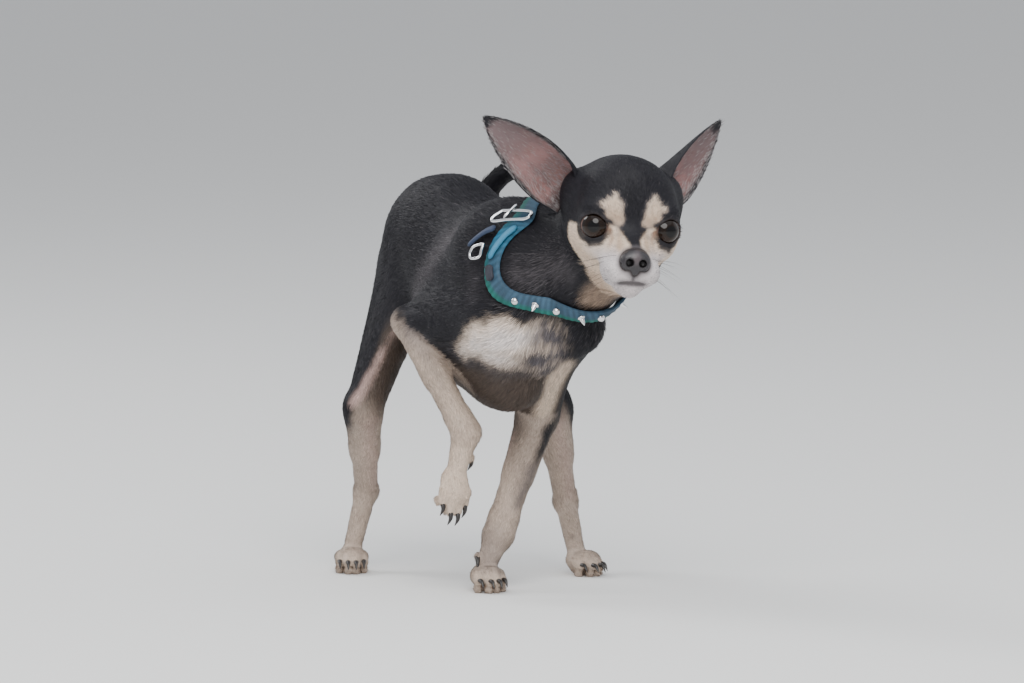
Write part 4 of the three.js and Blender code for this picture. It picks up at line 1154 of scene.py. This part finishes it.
for n in np.argsort(-sizes[:, 1]):
    if across + sizes[n, 0] > wide:
        across, upward, tallest = 0, upward + tallest, 0
    spots[n] = (across, upward)
    across += sizes[n, 0]
    tallest = max(tallest, sizes[n, 1])
square = max(wide, upward + tallest)
faceUv = (flatPlaces + spots[faceChart][:, None]) / square
skinPiece = quickMesh("skin", allPoints, allQuads.ravel(), np.full(len(allQuads), 4),
                      tones, faceUv.reshape(-1, 2))
print("markings and unwrap,", len(charts), "charts")


# Coat: thin tapered tufts over the skin, along the lie, shortest on the face and feet
coat = {
    "trunk": {"length": 4.6, "width": 0.46, "perArea": 1.75, "lift": 12},
    "neck": {"length": 5.4, "width": 0.42, "perArea": 2.1, "lift": 15},
    "head": {"length": 2.3, "width": 0.28, "perArea": 4.2, "lift": 13},
    "tail": {"length": 5.2, "width": 0.36, "perArea": 2.8, "lift": 14},
    "leg": {"length": 2.9, "width": 0.34, "perArea": 3.0, "lift": 12},
    "ear": {"length": 1.9, "width": 0.26, "perArea": 3.6, "lift": 9},
}
coatOf = [coat[name.split("_")[0].replace("foreleg", "leg").replace("hindleg", "leg")] for name in regions]


def perFace(key):
    return np.array([one[key] for one in coatOf])[faceRegion]


pointWays, _ = lieAt(allPoints)
start = bodyCount
for n, (points, quads, share) in enumerate(earShells):
    pointWays[start:start + len(points)] = unit(ears[n]["tip"] - ears[n]["root"])
    start += len(points)
inHead = (faceCentres - eyes) @ headTurn
faceArea = np.linalg.norm(faceNormals, axis=1) / 2
chanceOf = faceArea * perFace("perArea")
nearNose = np.linalg.norm((inHead - (25, 0, -16)) / (1, 1.1, 1), axis=1)
chanceOf[noseAt(*faceCentres.T) < 0.9] = 0
chanceOf *= 1 + 1.1 * soft(nearNose - 22, 16)
for k in (0, 1):
    u, v, w = inAxes(*faceCentres.T, eyeCentres[k], eyeAxes(k))
    almond = almondAt(v, w)
    chanceOf[(u > 0) & (u * u + v * v + w * w < 200) & (almond < 1.0)] = 0
lipLine = lipsAt(faceCentres)
inFront = soft(np.abs(inHead[:, 1]) - 8.5, 4) * soft(-(inHead[:, 2] + 30.2), 2.2)
chanceOf[lipLine < 0.9 + 1.7 * inFront] = 0
earInside = np.zeros(len(allQuads), dtype=bool)
start = len(skinQuads)
earShareAll = np.zeros((len(allPoints), 3))
firstEar = bodyCount
for (points, quads, _), share in zip(earShells, earShares):
    inner = share[quads][:, :, 2].mean(axis=1) < 0.5
    t = share[quads][:, :, 0].mean(axis=1)
    k = np.abs(share[quads][:, :, 1].mean(axis=1))
    margin = soft(0.7 - k, 0.3) + 0.7 * soft(t - 0.3, 0.3)
    chanceOf[start:start + len(quads)] *= np.where(inner, 0.06 + 0.6 * np.clip(margin, 0, 1), 1)
    earInside[start:start + len(quads)] = inner
    earShareAll[firstEar:firstEar + len(points)] = share
    start += len(quads)
    firstEar += len(points)
for name, paw in paws.items():
    facing = faceNormals @ paw["sole"] / np.maximum(2 * faceArea, 1e-9)
    near = np.linalg.norm(faceCentres - paw["knuckle"], axis=1) < 34
    chanceOf[near & (facing > 0.72)] = 0

wanted = int(chanceOf.sum())
pick = np.searchsorted(np.cumsum(chanceOf), chance.uniform(0, chanceOf.sum(), wanted))
pick = np.minimum(pick, len(allQuads) - 1)
s, t = chance.uniform(size=(2, wanted, 1))
weights = np.concatenate([(1 - s) * (1 - t), s * (1 - t), s * t, (1 - s) * t], axis=1)[:, :, None]
roots = (allPoints[allQuads[pick]] * weights).sum(axis=1)
rootNormals = (allNormals[allQuads[pick]] * weights).sum(axis=1)
rootNormals /= np.maximum(np.linalg.norm(rootNormals, axis=1), 1e-9)[:, None]
rootUv = (faceUv[pick] * weights).sum(axis=1)
ways = (pointWays[allQuads[pick]] * weights).sum(axis=1)
ways -= rootNormals * (ways * rootNormals).sum(axis=1)[:, None]
ways += chance.normal(size=ways.shape) * 1e-3
ways /= np.maximum(np.linalg.norm(ways, axis=1), 1e-9)[:, None]
sides = np.cross(rootNormals, ways)
swing = 0.16 * waves(roots, 16, 31) + chance.normal(size=wanted) * 0.13
ways = ways * np.cos(swing)[:, None] + sides * np.sin(swing)[:, None]
sides = np.cross(rootNormals, ways)
region = faceRegion[pick]
length = np.array([one["length"] for one in coatOf])[region] * chance.uniform(0.62, 1.25, wanted)
width = np.array([one["width"] for one in coatOf])[region] * chance.uniform(0.75, 1.2, wanted)
lift = np.radians(np.array([one["lift"] for one in coatOf])[region]) * chance.uniform(0.5, 1.6, wanted)
length *= 1 - 0.45 * soft(nearNose[pick] - 28, 22)
length *= 1 - 0.35 * soft(nearNose[pick] - 11, 6)
width *= 1 - 0.3 * soft(nearNose[pick] - 26, 18)
chest = distanceTo(roots, vec(72, -4, 156), vec(44, -6, 118)) - 20
length *= 1 + 0.25 * soft(chest, 14)
onPaw = np.min([np.linalg.norm(roots - paw["knuckle"] - paw["forward"] * 6, axis=1)
                for paw in paws.values()], axis=0)
length *= 1 - 0.3 * soft(onPaw - 20, 10)
innerHair = earInside[pick]
length[innerHair] *= 1.7
lift[innerHair] *= 1.3
upward = 1 + 0.5 * waves(roots, 22, 40)
lift *= upward
roll = chance.normal(size=wanted) * 0.22
broad = sides * np.cos(roll)[:, None] + rootNormals * np.sin(roll)[:, None]
base = roots - rootNormals * 0.12
rise = ways * np.cos(lift)[:, None] + rootNormals * np.sin(lift)[:, None]
settle = ways * np.cos(lift * 0.2)[:, None] + rootNormals * np.sin(lift * 0.2 - 0.03)[:, None]
bend = base + rise * (length * 0.5)[:, None]
tips = bend + settle * (length * 0.5)[:, None]
half = (width / 2)[:, None]
tuftPoints = np.stack([base - broad * half, base + broad * half, bend + broad * half * 0.85,
                       bend - broad * half * 0.85, tips], axis=1)
tuftPoints[..., 2] = np.maximum(tuftPoints[..., 2], 0.05)

rootTones = np.zeros((wanted, 3))
onEar = region >= regions.index("ear_left")
onBody = ~onEar
rootTones[onBody] = markings(roots[onBody], 0.35)
shares = (earShareAll[allQuads[pick]] * weights).sum(axis=1)
earForward = np.where(region == regions.index("ear_left"), -1, 1)
rootTones[onEar] = earMarkings(shares[onEar], roots[onEar], earForward[onEar])
pale = innerHair & (chance.uniform(size=wanted) < 0.75)
rootTones[pale] = rootTones[pale] * 0.4 + coats["white"] * 0.32
bright = np.exp(chance.normal(size=wanted) * 0.17)
grey = np.array([{"neck": 0.12, "trunk": 0.012, "head": 0.006}.get(name, 0.01) for name in regions])[region]
# more grey tufts on the side of the neck: grey hairs, and also its painted sheen
grey = grey + 0.3 * soft(distanceTo(roots, vec(76, -20, 176), vec(84, -12, 196)) - 12, 16)
dark = rootTones.max(axis=1) < 0.09
greyed = dark & onBody & (chance.uniform(size=wanted) < grey)
rootTones[greyed] = rootTones[greyed] * 0.45 + coats["grizzleSheenAndShade"] * 0.42
speck = (rootTones.min(axis=1) > 0.3) & onBody & (nearNose[pick] < 24) & (chance.uniform(size=wanted) < 0.16)
rootTones[speck] = coats["grizzleSheenAndShade"] * 1.4
rootTones *= bright[:, None]
# painted shade: each tuft darker at the root among the other hairs, and lighter at the tip
rootShadeTipLight = np.array((0.8, 0.8, 1.0, 1.0, 1.16))
tuftTones = rootTones[:, None] * rootShadeTipLight[None, :, None]
tuftPatch = 0.0013  # half the side of one tuft in the unwrap
patch = np.array([(-1, -1), (1, -1), (1, 0), (-1, 0), (0, 1)]) * tuftPatch

furPieces = []
groups = {
    "coat_trunk": ("coat_black", ["trunk"]), "coat_neck": ("coat_black", ["neck", "tail"]),
    "coat_head": ("coat_mask", ["head"]), "coat_ears": ("ear", ["ear_left", "ear_right"]),
    "coat_forelegs": ("coat_tan", ["foreleg_left", "foreleg_right"]),
    "coat_hindlegs": ("coat_tan", ["hindleg_left", "hindleg_right"]),
}
mostTufts = 62000
for name, (slotName, members) in groups.items():
    chosen = np.nonzero(np.isin(region, [regions.index(m) for m in members]))[0]
    shares = np.array_split(chosen, math.ceil(len(chosen) / mostTufts))
    for n, some in enumerate(shares):
        first = np.arange(len(some))[:, None] * 5
        corners = np.concatenate([first + (0, 1, 2, 3), first + (3, 2, 4)], axis=1).ravel()
        sideCounts = np.tile((4, 3), len(some))
        uvs = (rootUv[some][:, None] + patch[None])[:, (0, 1, 2, 3, 3, 2, 4)].reshape(-1, 2)
        title = name if len(shares) == 1 else f"{name}_{n + 1}"
        piece = quickMesh(title, tuftPoints[some].reshape(-1, 3), corners, sideCounts,
                          tuftTones[some].reshape(-1, 3), np.clip(uvs, 0, 1))
        furPieces.append((piece, slotName))
print("coat", wanted, "tufts in", len(furPieces), "pieces")


# Collar: the strap laid on the body, its studs, buckle, ring, keeper and free end
strapAxis = unit(vec(1, -0.065, 0.719))
strapSide = unit(np.cross((0, 1, 0), strapAxis))
strapTop = np.cross(strapAxis, strapSide)
strap = {"width": 7.6, "thickness": 2.6, "steps": 220, "rim": 24, "ribs": 62}


# Places on the strap from angle round the neck, height across it and lift off the body
def onStrap(places):
    degrees, height, lift = np.asarray(places, dtype=float).T
    away = (degrees - 274 + 540) % 360 - 180
    drawnBack = 14 * np.exp(-(away / np.where(away < 0, 33, 41)) ** 2)
    pushedUp = 9 * np.exp(-((degrees - 208) / 27) ** 2)
    spot = vec(67.5, 4, 190) + (height - drawnBack + pushedUp)[:, None] * strapAxis
    turn = np.radians(degrees)[:, None]
    outward = strapSide * np.cos(turn) + strapTop * np.sin(turn)
    for _ in range(60):
        depth = np.maximum(-bodyAt(*spot.T), 0)
        spot = spot + outward * (depth * 0.75)[:, None]
    return spot + outward * (1.2 + lift)[:, None]


# A sine or cosine swelled towards a square, for rounded edges
def squarer(value, power):
    return math.copysign(abs(value) ** power, value)


# A closed line with its small kinks smoothed out
def evened(line, spread):
    share = np.fft.rfftfreq(len(line))[:, None]
    return np.fft.irfft(np.fft.rfft(line, axis=0) * np.exp(-(share * spread) ** 2), len(line), axis=0)


def strapHoop():
    steps, rim = strap["steps"], strap["rim"]
    angles = np.arange(steps) * 360 / steps
    edges = {h: evened(onStrap(np.column_stack([angles, np.full(steps, h), np.zeros(steps)])), 9)
             for h in (-strap["width"] / 2, 0, strap["width"] / 2)}
    raised = evened(onStrap(np.column_stack([angles, np.zeros(steps), np.ones(steps)])), 9)
    above = raised - edges[0]
    points, across = [], []
    for n in range(steps):
        for k in range(rim):
            turn = 2 * math.pi * k / rim
            wide = squarer(math.cos(turn), 0.45)
            tall = squarer(math.sin(turn), 0.6)
            edge = edges[math.copysign(strap["width"] / 2, wide)][n]
            welt = 0.22 * math.exp(-(wide / 0.16) ** 2) * (tall > 0)
            groove = -0.2 * math.exp(-((wide + 0.12) / 0.06) ** 2) * (tall > 0)
            lift = 0.5 * (tall + 1) * 0.98 + welt + groove
            ribs = math.sin(math.radians(n * 360 / steps) * strap["ribs"] + 3 * wide)
            ripple = 0.16 * ribs + 0.05 * math.sin(n * 0.7)
            base = edges[0][n] + (edge - edges[0][n]) * abs(wide)
            points.append(base + above[n] * (lift * strap["thickness"] + ripple * (tall > 0)))
            across.append(wide)
    quads = [(a, d, c, b) for a, b, c, d in tubeFaces(steps, rim, loop=True)]
    return np.array(points), quads, np.array(across)


hoopPoints, hoopQuads, hoopAcross = strapHoop()
strapPiece = joined("strap_leather", [(hoopPoints, hoopQuads)])
blueGrey, green = np.array((0.032, 0.075, 0.12)), np.array((0.008, 0.105, 0.09))
lower = soft(hoopAcross + 0.12, 0.3)
worn = np.clip(0.5 + 0.5 * waves(hoopPoints, 6, 51), 0, 1)
hoopTones = blueGrey * (1 - lower)[:, None] + green * lower[:, None]
hoopTones = hoopTones * (0.75 + 0.5 * worn)[:, None]
seam = np.exp(-((hoopAcross + 0.12) / 0.08) ** 2)[:, None]
hoopTones = hoopTones * (1 - 0.7 * seam)
hoopAngle = np.repeat(np.arange(strap["steps"]) * 360 / strap["steps"], strap["rim"])
blueZone = np.exp(-((hoopAngle - 236) / 17.0) ** 2)[:, None]
hoopTones = hoopTones * (1 - blueZone) + np.array((0.02, 0.13, 0.22)) * (0.6 + 0.6 * worn)[:, None] * blueZone
weave = 0.5 + 0.5 * np.sin(np.radians(hoopAngle) * strap["ribs"] + hoopAcross * 3.0)
hoopTones *= (0.72 + 0.45 * weave * np.clip(0.6 + waves(hoopPoints, 11, 52), 0.2, 1))[:, None]
tint(strapPiece.data, hoopTones)


# A flat length of leather with rounded edges, laid along places on the strap
def stripOf(places, rings, wide, thick):
    path = curveThrough(onStrap(places), rings)
    up = unit(onStrap([(places[0][0], 0, 9)])[0] - onStrap([(places[0][0], 0, 0)])[0])
    tangent = np.gradient(path, axis=0)
    tangent /= np.linalg.norm(tangent, axis=1)[:, None]
    side = np.cross(up, tangent)
    side /= np.linalg.norm(side, axis=1)[:, None]
    top = np.cross(tangent, side)
    rim = 20
    points = []
    for n in range(rings):
        close = min(1, 0.35 + min(n, rings - 1 - n) * 0.45)
        for k in range(rim):
            turn = 2 * math.pi * k / rim
            w = squarer(math.cos(turn), 0.5) * wide / 2 * close
            h = squarer(math.sin(turn), 0.7) * thick / 2 * close
            points.append(path[n] + side[n] * w + top[n] * h)
    points += [path[0], path[-1]]
    return np.array(points), tubeFaces(rings, rim)


def wireOf(places, radius, steps=96):
    path = curveThrough(onStrap(places + [places[0]]), steps + 1)[:-1]
    up = onStrap([(places[0][0], 0, 9)])[0] - onStrap([(places[0][0], 0, 0)])[0]
    return swept(path, np.full(steps, radius), 12, up=unit(up), loop=True)


def onBuckle(along, across, lift):
    return 217 + along - across * 0.85, across, lift


keeper = joined("strap_keeper", [stripOf([(270, 0, 3.2), (263, 0, 3.2), (257, 0, 3.2)], 14, 8.4, 2.6)])
fold = joined("strap_layer", [
    stripOf([(253, 0.5, 4.3), (246, 2, 4.2), (236, 3, 4.2), (226, 3.5, 4.2)], 26, 5, 2.2)])
endPiece = joined("strap_tip", [
    stripOf([(229, -3.5, 5), (231.5, -7.5, 4.3), (235, -11, 3.6), (239, -15, 3.2)], 26, 5.2, 2.2)])
buckle = joined("buckle", [
    wireOf([onBuckle(*p) for p in ((-5, -4.6, 7.4), (0, -5.6, 7.6), (5, -4.6, 7.4), (5.5, 0, 6.6),
                                   (5, 4.6, 5.8), (0, 5.6, 5.8), (-5, 4.6, 5.8), (-5.5, 0, 6.6))], 0.95),
    stripOf([onBuckle(-8, 0.5, 9.9), onBuckle(0, 0.5, 10.1), onBuckle(7, 0.5, 9.7)], 12, 1.7, 1.5),
])
ring = joined("ring", [
    wireOf([(242, -3.4, 6), (242, -6.4, 6), (243, -8.6, 5.8), (246, -9.6, 5.6), (249, -8.6, 5.8),
            (250.5, -6.4, 6), (250.5, -3.4, 6), (246, -3, 6.2)], 0.85)])
studParts = []
for n, degrees in enumerate((300, 319, 341, 5, 22, 46, 68, 90, 112)):
    seat, out = onStrap([(degrees, 0, strap["thickness"] * 0.8), (degrees, 0, 9)])
    outward = unit(out - seat)
    if n % 2:
        stops = [(0, 1.9), (0.1, 2.25), (0.6, 2.35), (0.95, 2.0), (1.3, 1.55),
                 (2.2, 1.45), (3.6, 0.95), (5.1, 0.28), (5.4, 0.0)]
    else:
        stops = [(0, 2.1), (0.1, 2.3), (0.9, 2.35), (1.7, 2.1), (2.4, 1.5), (2.9, 0.75), (3.1, 0.0)]
    heights = np.array([h for h, _ in stops])
    widths = np.array([max(r, 0.02) for _, r in stops])
    studParts.append(swept(seat + outward * heights[:, None], widths, 28,
                           up=unit(np.cross(outward, strapAxis))))
studs = joined("studs", studParts)
print("collar")

# Whiskers: a few fine dark hairs on the muzzle and brows
whiskerParts = []
for s in (-1, 1):
    for n in range(11):
        row, step = divmod(n, 4)
        start = onHead(17 - step * 3.2, s * (9.5 + step * 1.9), -17.5 - row * 3.2)
        way = headways(0.25 - 0.22 * step, s * 1.0, -0.12 - 0.22 * row + chance.normal() * 0.1)
        start = drawOnto(skinAt, np.array([start]), 6, 3)[0]
        reach = chance.uniform(13, 21)
        bow = headways(-0.5, s * 0.1, -0.5)
        line = np.array([start + way * reach * t + bow * reach * 0.28 * t * t for t in np.linspace(0, 1, 10)])
        whiskerParts.append(swept(line, 0.085 * (1.05 - np.linspace(0, 1, 10)), 5))
    for n in range(2):
        start = drawOnto(skinAt, np.array([onHead(6, s * (14 + 3 * n), 10.5)]), 6, 3)[0]
        way = headways(0.7, s * (0.4 + 0.3 * n), 0.6)
        line = np.array([start + way * 9 * t + headways(-0.3, 0, 0.6) * 2 * t * t
                         for t in np.linspace(0, 1, 8)])
        whiskerParts.append(swept(line, 0.07 * (1.05 - np.linspace(0, 1, 8)), 5))
whiskers = joined("whiskers", whiskerParts)


# Materials. A value is a socket that adds, subtracts and multiplies as it is written
class Value:
    def __init__(self, tree, socket):
        self.tree, self.socket = tree, socket

    def maths(self, kind, first, second):
        node = self.tree.nodes.new("ShaderNodeMath")
        node.operation = kind
        for place, one in zip(node.inputs, (first, second)):
            if isinstance(one, Value):
                self.tree.links.new(one.socket, place)
            else:
                place.default_value = one
        return Value(self.tree, node.outputs[0])

    def __add__(self, other):
        return self.maths("ADD", self, other)

    def __radd__(self, other):
        return self.maths("ADD", other, self)

    def __sub__(self, other):
        return self.maths("SUBTRACT", self, other)

    def __rsub__(self, other):
        return self.maths("SUBTRACT", other, self)

    def __mul__(self, other):
        return self.maths("MULTIPLY", self, other)

    def __rmul__(self, other):
        return self.maths("MULTIPLY", other, self)


# A material being made: its tree, its main shader and one way to add any other node
class Look:
    def __init__(self, name, **constants):
        self.material = bpy.data.materials.new(name)
        self.material.use_nodes = True
        self.tree = self.material.node_tree
        self.shader = self.tree.nodes["Principled BSDF"]
        for socket, value in constants.items():
            self.shader.inputs[socket.replace("_", " ")].default_value = value

    def node(self, kind, settings, sockets, output=0):
        node = self.tree.nodes.new(kind)
        for name, value in settings.items():
            setattr(node, name, value)
        for name, value in sockets.items():
            if isinstance(value, Value):
                self.tree.links.new(value.socket, node.inputs[name])
            else:
                node.inputs[name].default_value = value
        return Value(self.tree, node.outputs[output])

    def feed(self, socket, value):
        self.tree.links.new(value.socket, self.shader.inputs[socket])

    def marking(self):
        return self.node("ShaderNodeAttribute", {"attribute_name": "marking"}, {}, "Color")

    def bump(self, height, depth):
        self.feed("Normal", self.node("ShaderNodeBump", {},
                                      {"Height": height, "Distance": depth, "Strength": 0.6}))

    def noise(self, scale, detail=4.0):
        place = self.node("ShaderNodeTexCoord", {}, {}, "Object")
        return self.node("ShaderNodeTexNoise", {}, {"Vector": place, "Scale": scale, "Detail": detail}, "Fac")


skinLook = Look("skin", Roughness=0.62, Specular_IOR_Level=0.3)
skinLook.feed("Base Color", skinLook.marking())
skinLook.bump(skinLook.noise(1400), 0.0003)

furLook = Look("fur", Roughness=0.55, Specular_IOR_Level=0.24)
furLook.feed("Base Color", furLook.marking())

eyeLook = Look("eye", Roughness=0.6, Specular_IOR_Level=0.0,
               Coat_Weight=1.0, Coat_Roughness=0.01, Coat_IOR=1.36)
eyeLook.feed("Base Color", eyeLook.marking())

noseLook = Look("nose", Specular_IOR_Level=0.55)
noseLook.feed("Base Color", noseLook.marking())
nosePlace = noseLook.node("ShaderNodeTexCoord", {}, {}, "Object")
pebbles = noseLook.node("ShaderNodeTexVoronoi", {}, {"Vector": nosePlace, "Scale": 1500.0}, "Distance")
noseLook.bump(1 - pebbles, 0.00022)
noseLook.feed("Roughness", 0.26 + 0.2 * noseLook.noise(500.0))

clawLook = Look("claw", Roughness=0.34, Specular_IOR_Level=0.5)
clawLook.shader.inputs["Base Color"].default_value = (0.022, 0.019, 0.018, 1)
clawLook.bump(clawLook.noise(700.0), 0.0002)

leatherLook = Look("leather", Specular_IOR_Level=0.35)
leatherLook.feed("Base Color", leatherLook.marking())
leatherLook.feed("Roughness", 0.5 + 0.3 * leatherLook.noise(300.0))
leatherLook.bump(leatherLook.noise(900.0, 6.0), 0.0004)

steelLook = Look("steel", Metallic=1.0)
steelLook.shader.inputs["Base Color"].default_value = (0.78, 0.78, 0.79, 1)
steelLook.feed("Roughness", 0.12 + 0.16 * steelLook.noise(250.0))

whiskerLook = Look("whisker", Roughness=0.4)
whiskerLook.shader.inputs["Base Color"].default_value = (0.03, 0.025, 0.025, 1)


def plain(piece, tone):
    tint(piece.data, np.tile(tone, (len(piece.data.vertices), 1)))


def placesOf(piece):
    flat = np.empty(len(piece.data.vertices) * 3, dtype=np.float32)
    piece.data.vertices.foreach_get("co", flat)
    return flat.reshape(-1, 3) * 1000 + middle


for k, ball in enumerate(eyeballs):
    u, v, w = inAxes(*placesOf(ball).T, eyeCentres[k], eyeAxes(k))
    out = np.hypot(v, w)
    turn = np.arctan2(w, v)
    streak = 0.5 + 0.5 * np.sin(turn * 31 + 2 * np.sin(turn * 5)) * np.clip(out / 6, 0, 1)
    tone = np.tile((0.013, 0.006, 0.003), (len(out), 1)) * (0.8 + 0.6 * streak)[:, None]
    # painted light and shade: the iris darker at the top under the lid, lighter towards the bottom
    tone *= (0.6 + 0.9 * np.clip(-w / 6, 0, 1))[:, None]
    pupil = soft(out - 3.3, 0.9)[:, None]
    tone = tone * (1 - pupil) + np.array((0.0025, 0.0022, 0.0025)) * pupil
    limbus = np.exp(-((out - 6.6) / 0.5) ** 2)[:, None]
    tone = tone * (1 - 0.85 * limbus)
    white = (soft(7.0 - out, 0.7) + (u < 0))[:, None].clip(0, 1)
    tone = tone * (1 - white) + np.array((0.16, 0.10, 0.085)) * white
    tint(ball.data, tone)
noseIn = (placesOf(nose) - eyes) @ headTurn
noseTone = np.tile((0.020, 0.017, 0.020), (len(noseIn), 1))
# painted highlight: a lighter patch on the top of the nose leather
noseTopHighlight = soft(np.hypot(noseIn[:, 1] / 2.3, (noseIn[:, 2] + 13) / 3.6) - 1, 1.2)[:, None]
noseTone = noseTone + np.array((0.055, 0.04, 0.042)) * noseTopHighlight * 0.8
inNostril = np.min([hole["distance"](*placesOf(nose).T) for hole in nostrils], axis=0)
# painted shade: the nose leather darkened inside the nostrils
noseTone *= (1 - 0.85 * soft(inNostril - 0.3, 0.8))[:, None]
tint(nose.data, noseTone)
plain(keeper, (0.028, 0.03, 0.042))
plain(fold, (0.045, 0.2, 0.33))
plain(endPiece, (0.03, 0.045, 0.085))

fleshStarts = ("trunk", "neck", "head", "foreleg", "hindleg", "ear", "tail")
flesh = [name for name in frame["nodes"] if name.startswith(fleshStarts)]
dressed = [
    (skinPiece, skinLook, "coat_black", flesh),
    (eyeballs[0], eyeLook, "eye", ["eye_right"]),
    (eyeballs[1], eyeLook, "eye", ["eye_left"]),
    (nose, noseLook, "nose", ["nose"]),
    (claws, clawLook, "nose", []),
    (whiskers, whiskerLook, "coat_black", []),
    (strapPiece, leatherLook, "strap", ["strap"]),
    (keeper, leatherLook, "dark_leather", ["keeper"]),
    (fold, leatherLook, "strap", ["strap_fold"]),
    (endPiece, leatherLook, "dark_leather", ["strap_end"]),
    (buckle, steelLook, "steel", ["buckle_frame", "buckle_pin"]),
    (ring, steelLook, "steel", ["lead_ring"]),
    (studs, steelLook, "steel", [f"stud_{n:02d}" for n in range(1, 10)]),
]
dressed += [(piece, furLook, slotName, []) for piece, slotName in furPieces]
for piece, look, slotName, nodes in dressed:
    piece.data.materials.append(look.material)
    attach(piece, "root")
    if nodes:
        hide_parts(*nodes)
print("pieces dressed")


# Camera, floor and light
camera = placed("camera", bpy.data.cameras.new("camera"))
bpy.context.scene.camera = camera
around, rise = math.radians(28), math.radians(5.6)
back = np.array((math.cos(around) * math.cos(rise), -math.sin(around) * math.cos(rise), math.sin(rise)))
camera.location = inFrame((4249.7, -2249.3, 612.0))
camera.rotation_euler = Vector(back).to_track_quat("Z", "Y").to_euler()
camera.data.lens = 300
camera.data.sensor_width = 36
camera.data.clip_end = 50


def lamp(name, kind, energy, size, spot, aimed, colour=(1, 1, 1)):
    light = bpy.data.lights.new(name, kind)
    light.energy, light.color = energy, colour
    if kind == "AREA":
        light.shape, light.size = "DISK", size
    made = placed(name, light)
    made.location = spot
    made.rotation_euler = (Vector(spot) - Vector(aimed)).to_track_quat("Z", "Y").to_euler()


lamp("key", "AREA", 48, 1.6, (1.45, -0.75, 1.55), (0, 0, 0.14), (1, 0.985, 0.96))
lamp("sky", "AREA", 20, 3.4, (0.5, 0.1, 2.3), (0, 0, 0.1), (0.88, 0.94, 1))
lamp("fill", "AREA", 5, 2.0, (0.2, 2.2, 0.9), (0, 0, 0.14), (0.95, 0.97, 1))
lamp("rim", "AREA", 20, 1.0, (-1.4, -0.9, 1.4), (0, 0, 0.16), (1, 1, 1))
world = bpy.data.worlds.new("studio")
world.use_nodes = True
world.node_tree.nodes["Background"].inputs[0].default_value = (0.86, 0.88, 0.92, 1)
world.node_tree.nodes["Background"].inputs[1].default_value = 0.74
bpy.context.scene.world = world


# Floor: a wide pale disc, open on every side
rimOfFloor = [(24 * math.cos(a), 24 * math.sin(a), 0) for a in np.linspace(0, 2 * math.pi, 97)[:-1]]
floorMesh = bpy.data.meshes.new("floor")
floorMesh.from_pydata(rimOfFloor, [], [range(96)])
floorPiece = placed("floor", floorMesh)
floorLook = Look("floor", Roughness=0.85, Specular_IOR_Level=0.1)
floorLook.shader.inputs["Base Color"].default_value = (0.78, 0.78, 0.77, 1)
floorMesh.materials.append(floorLook.material)
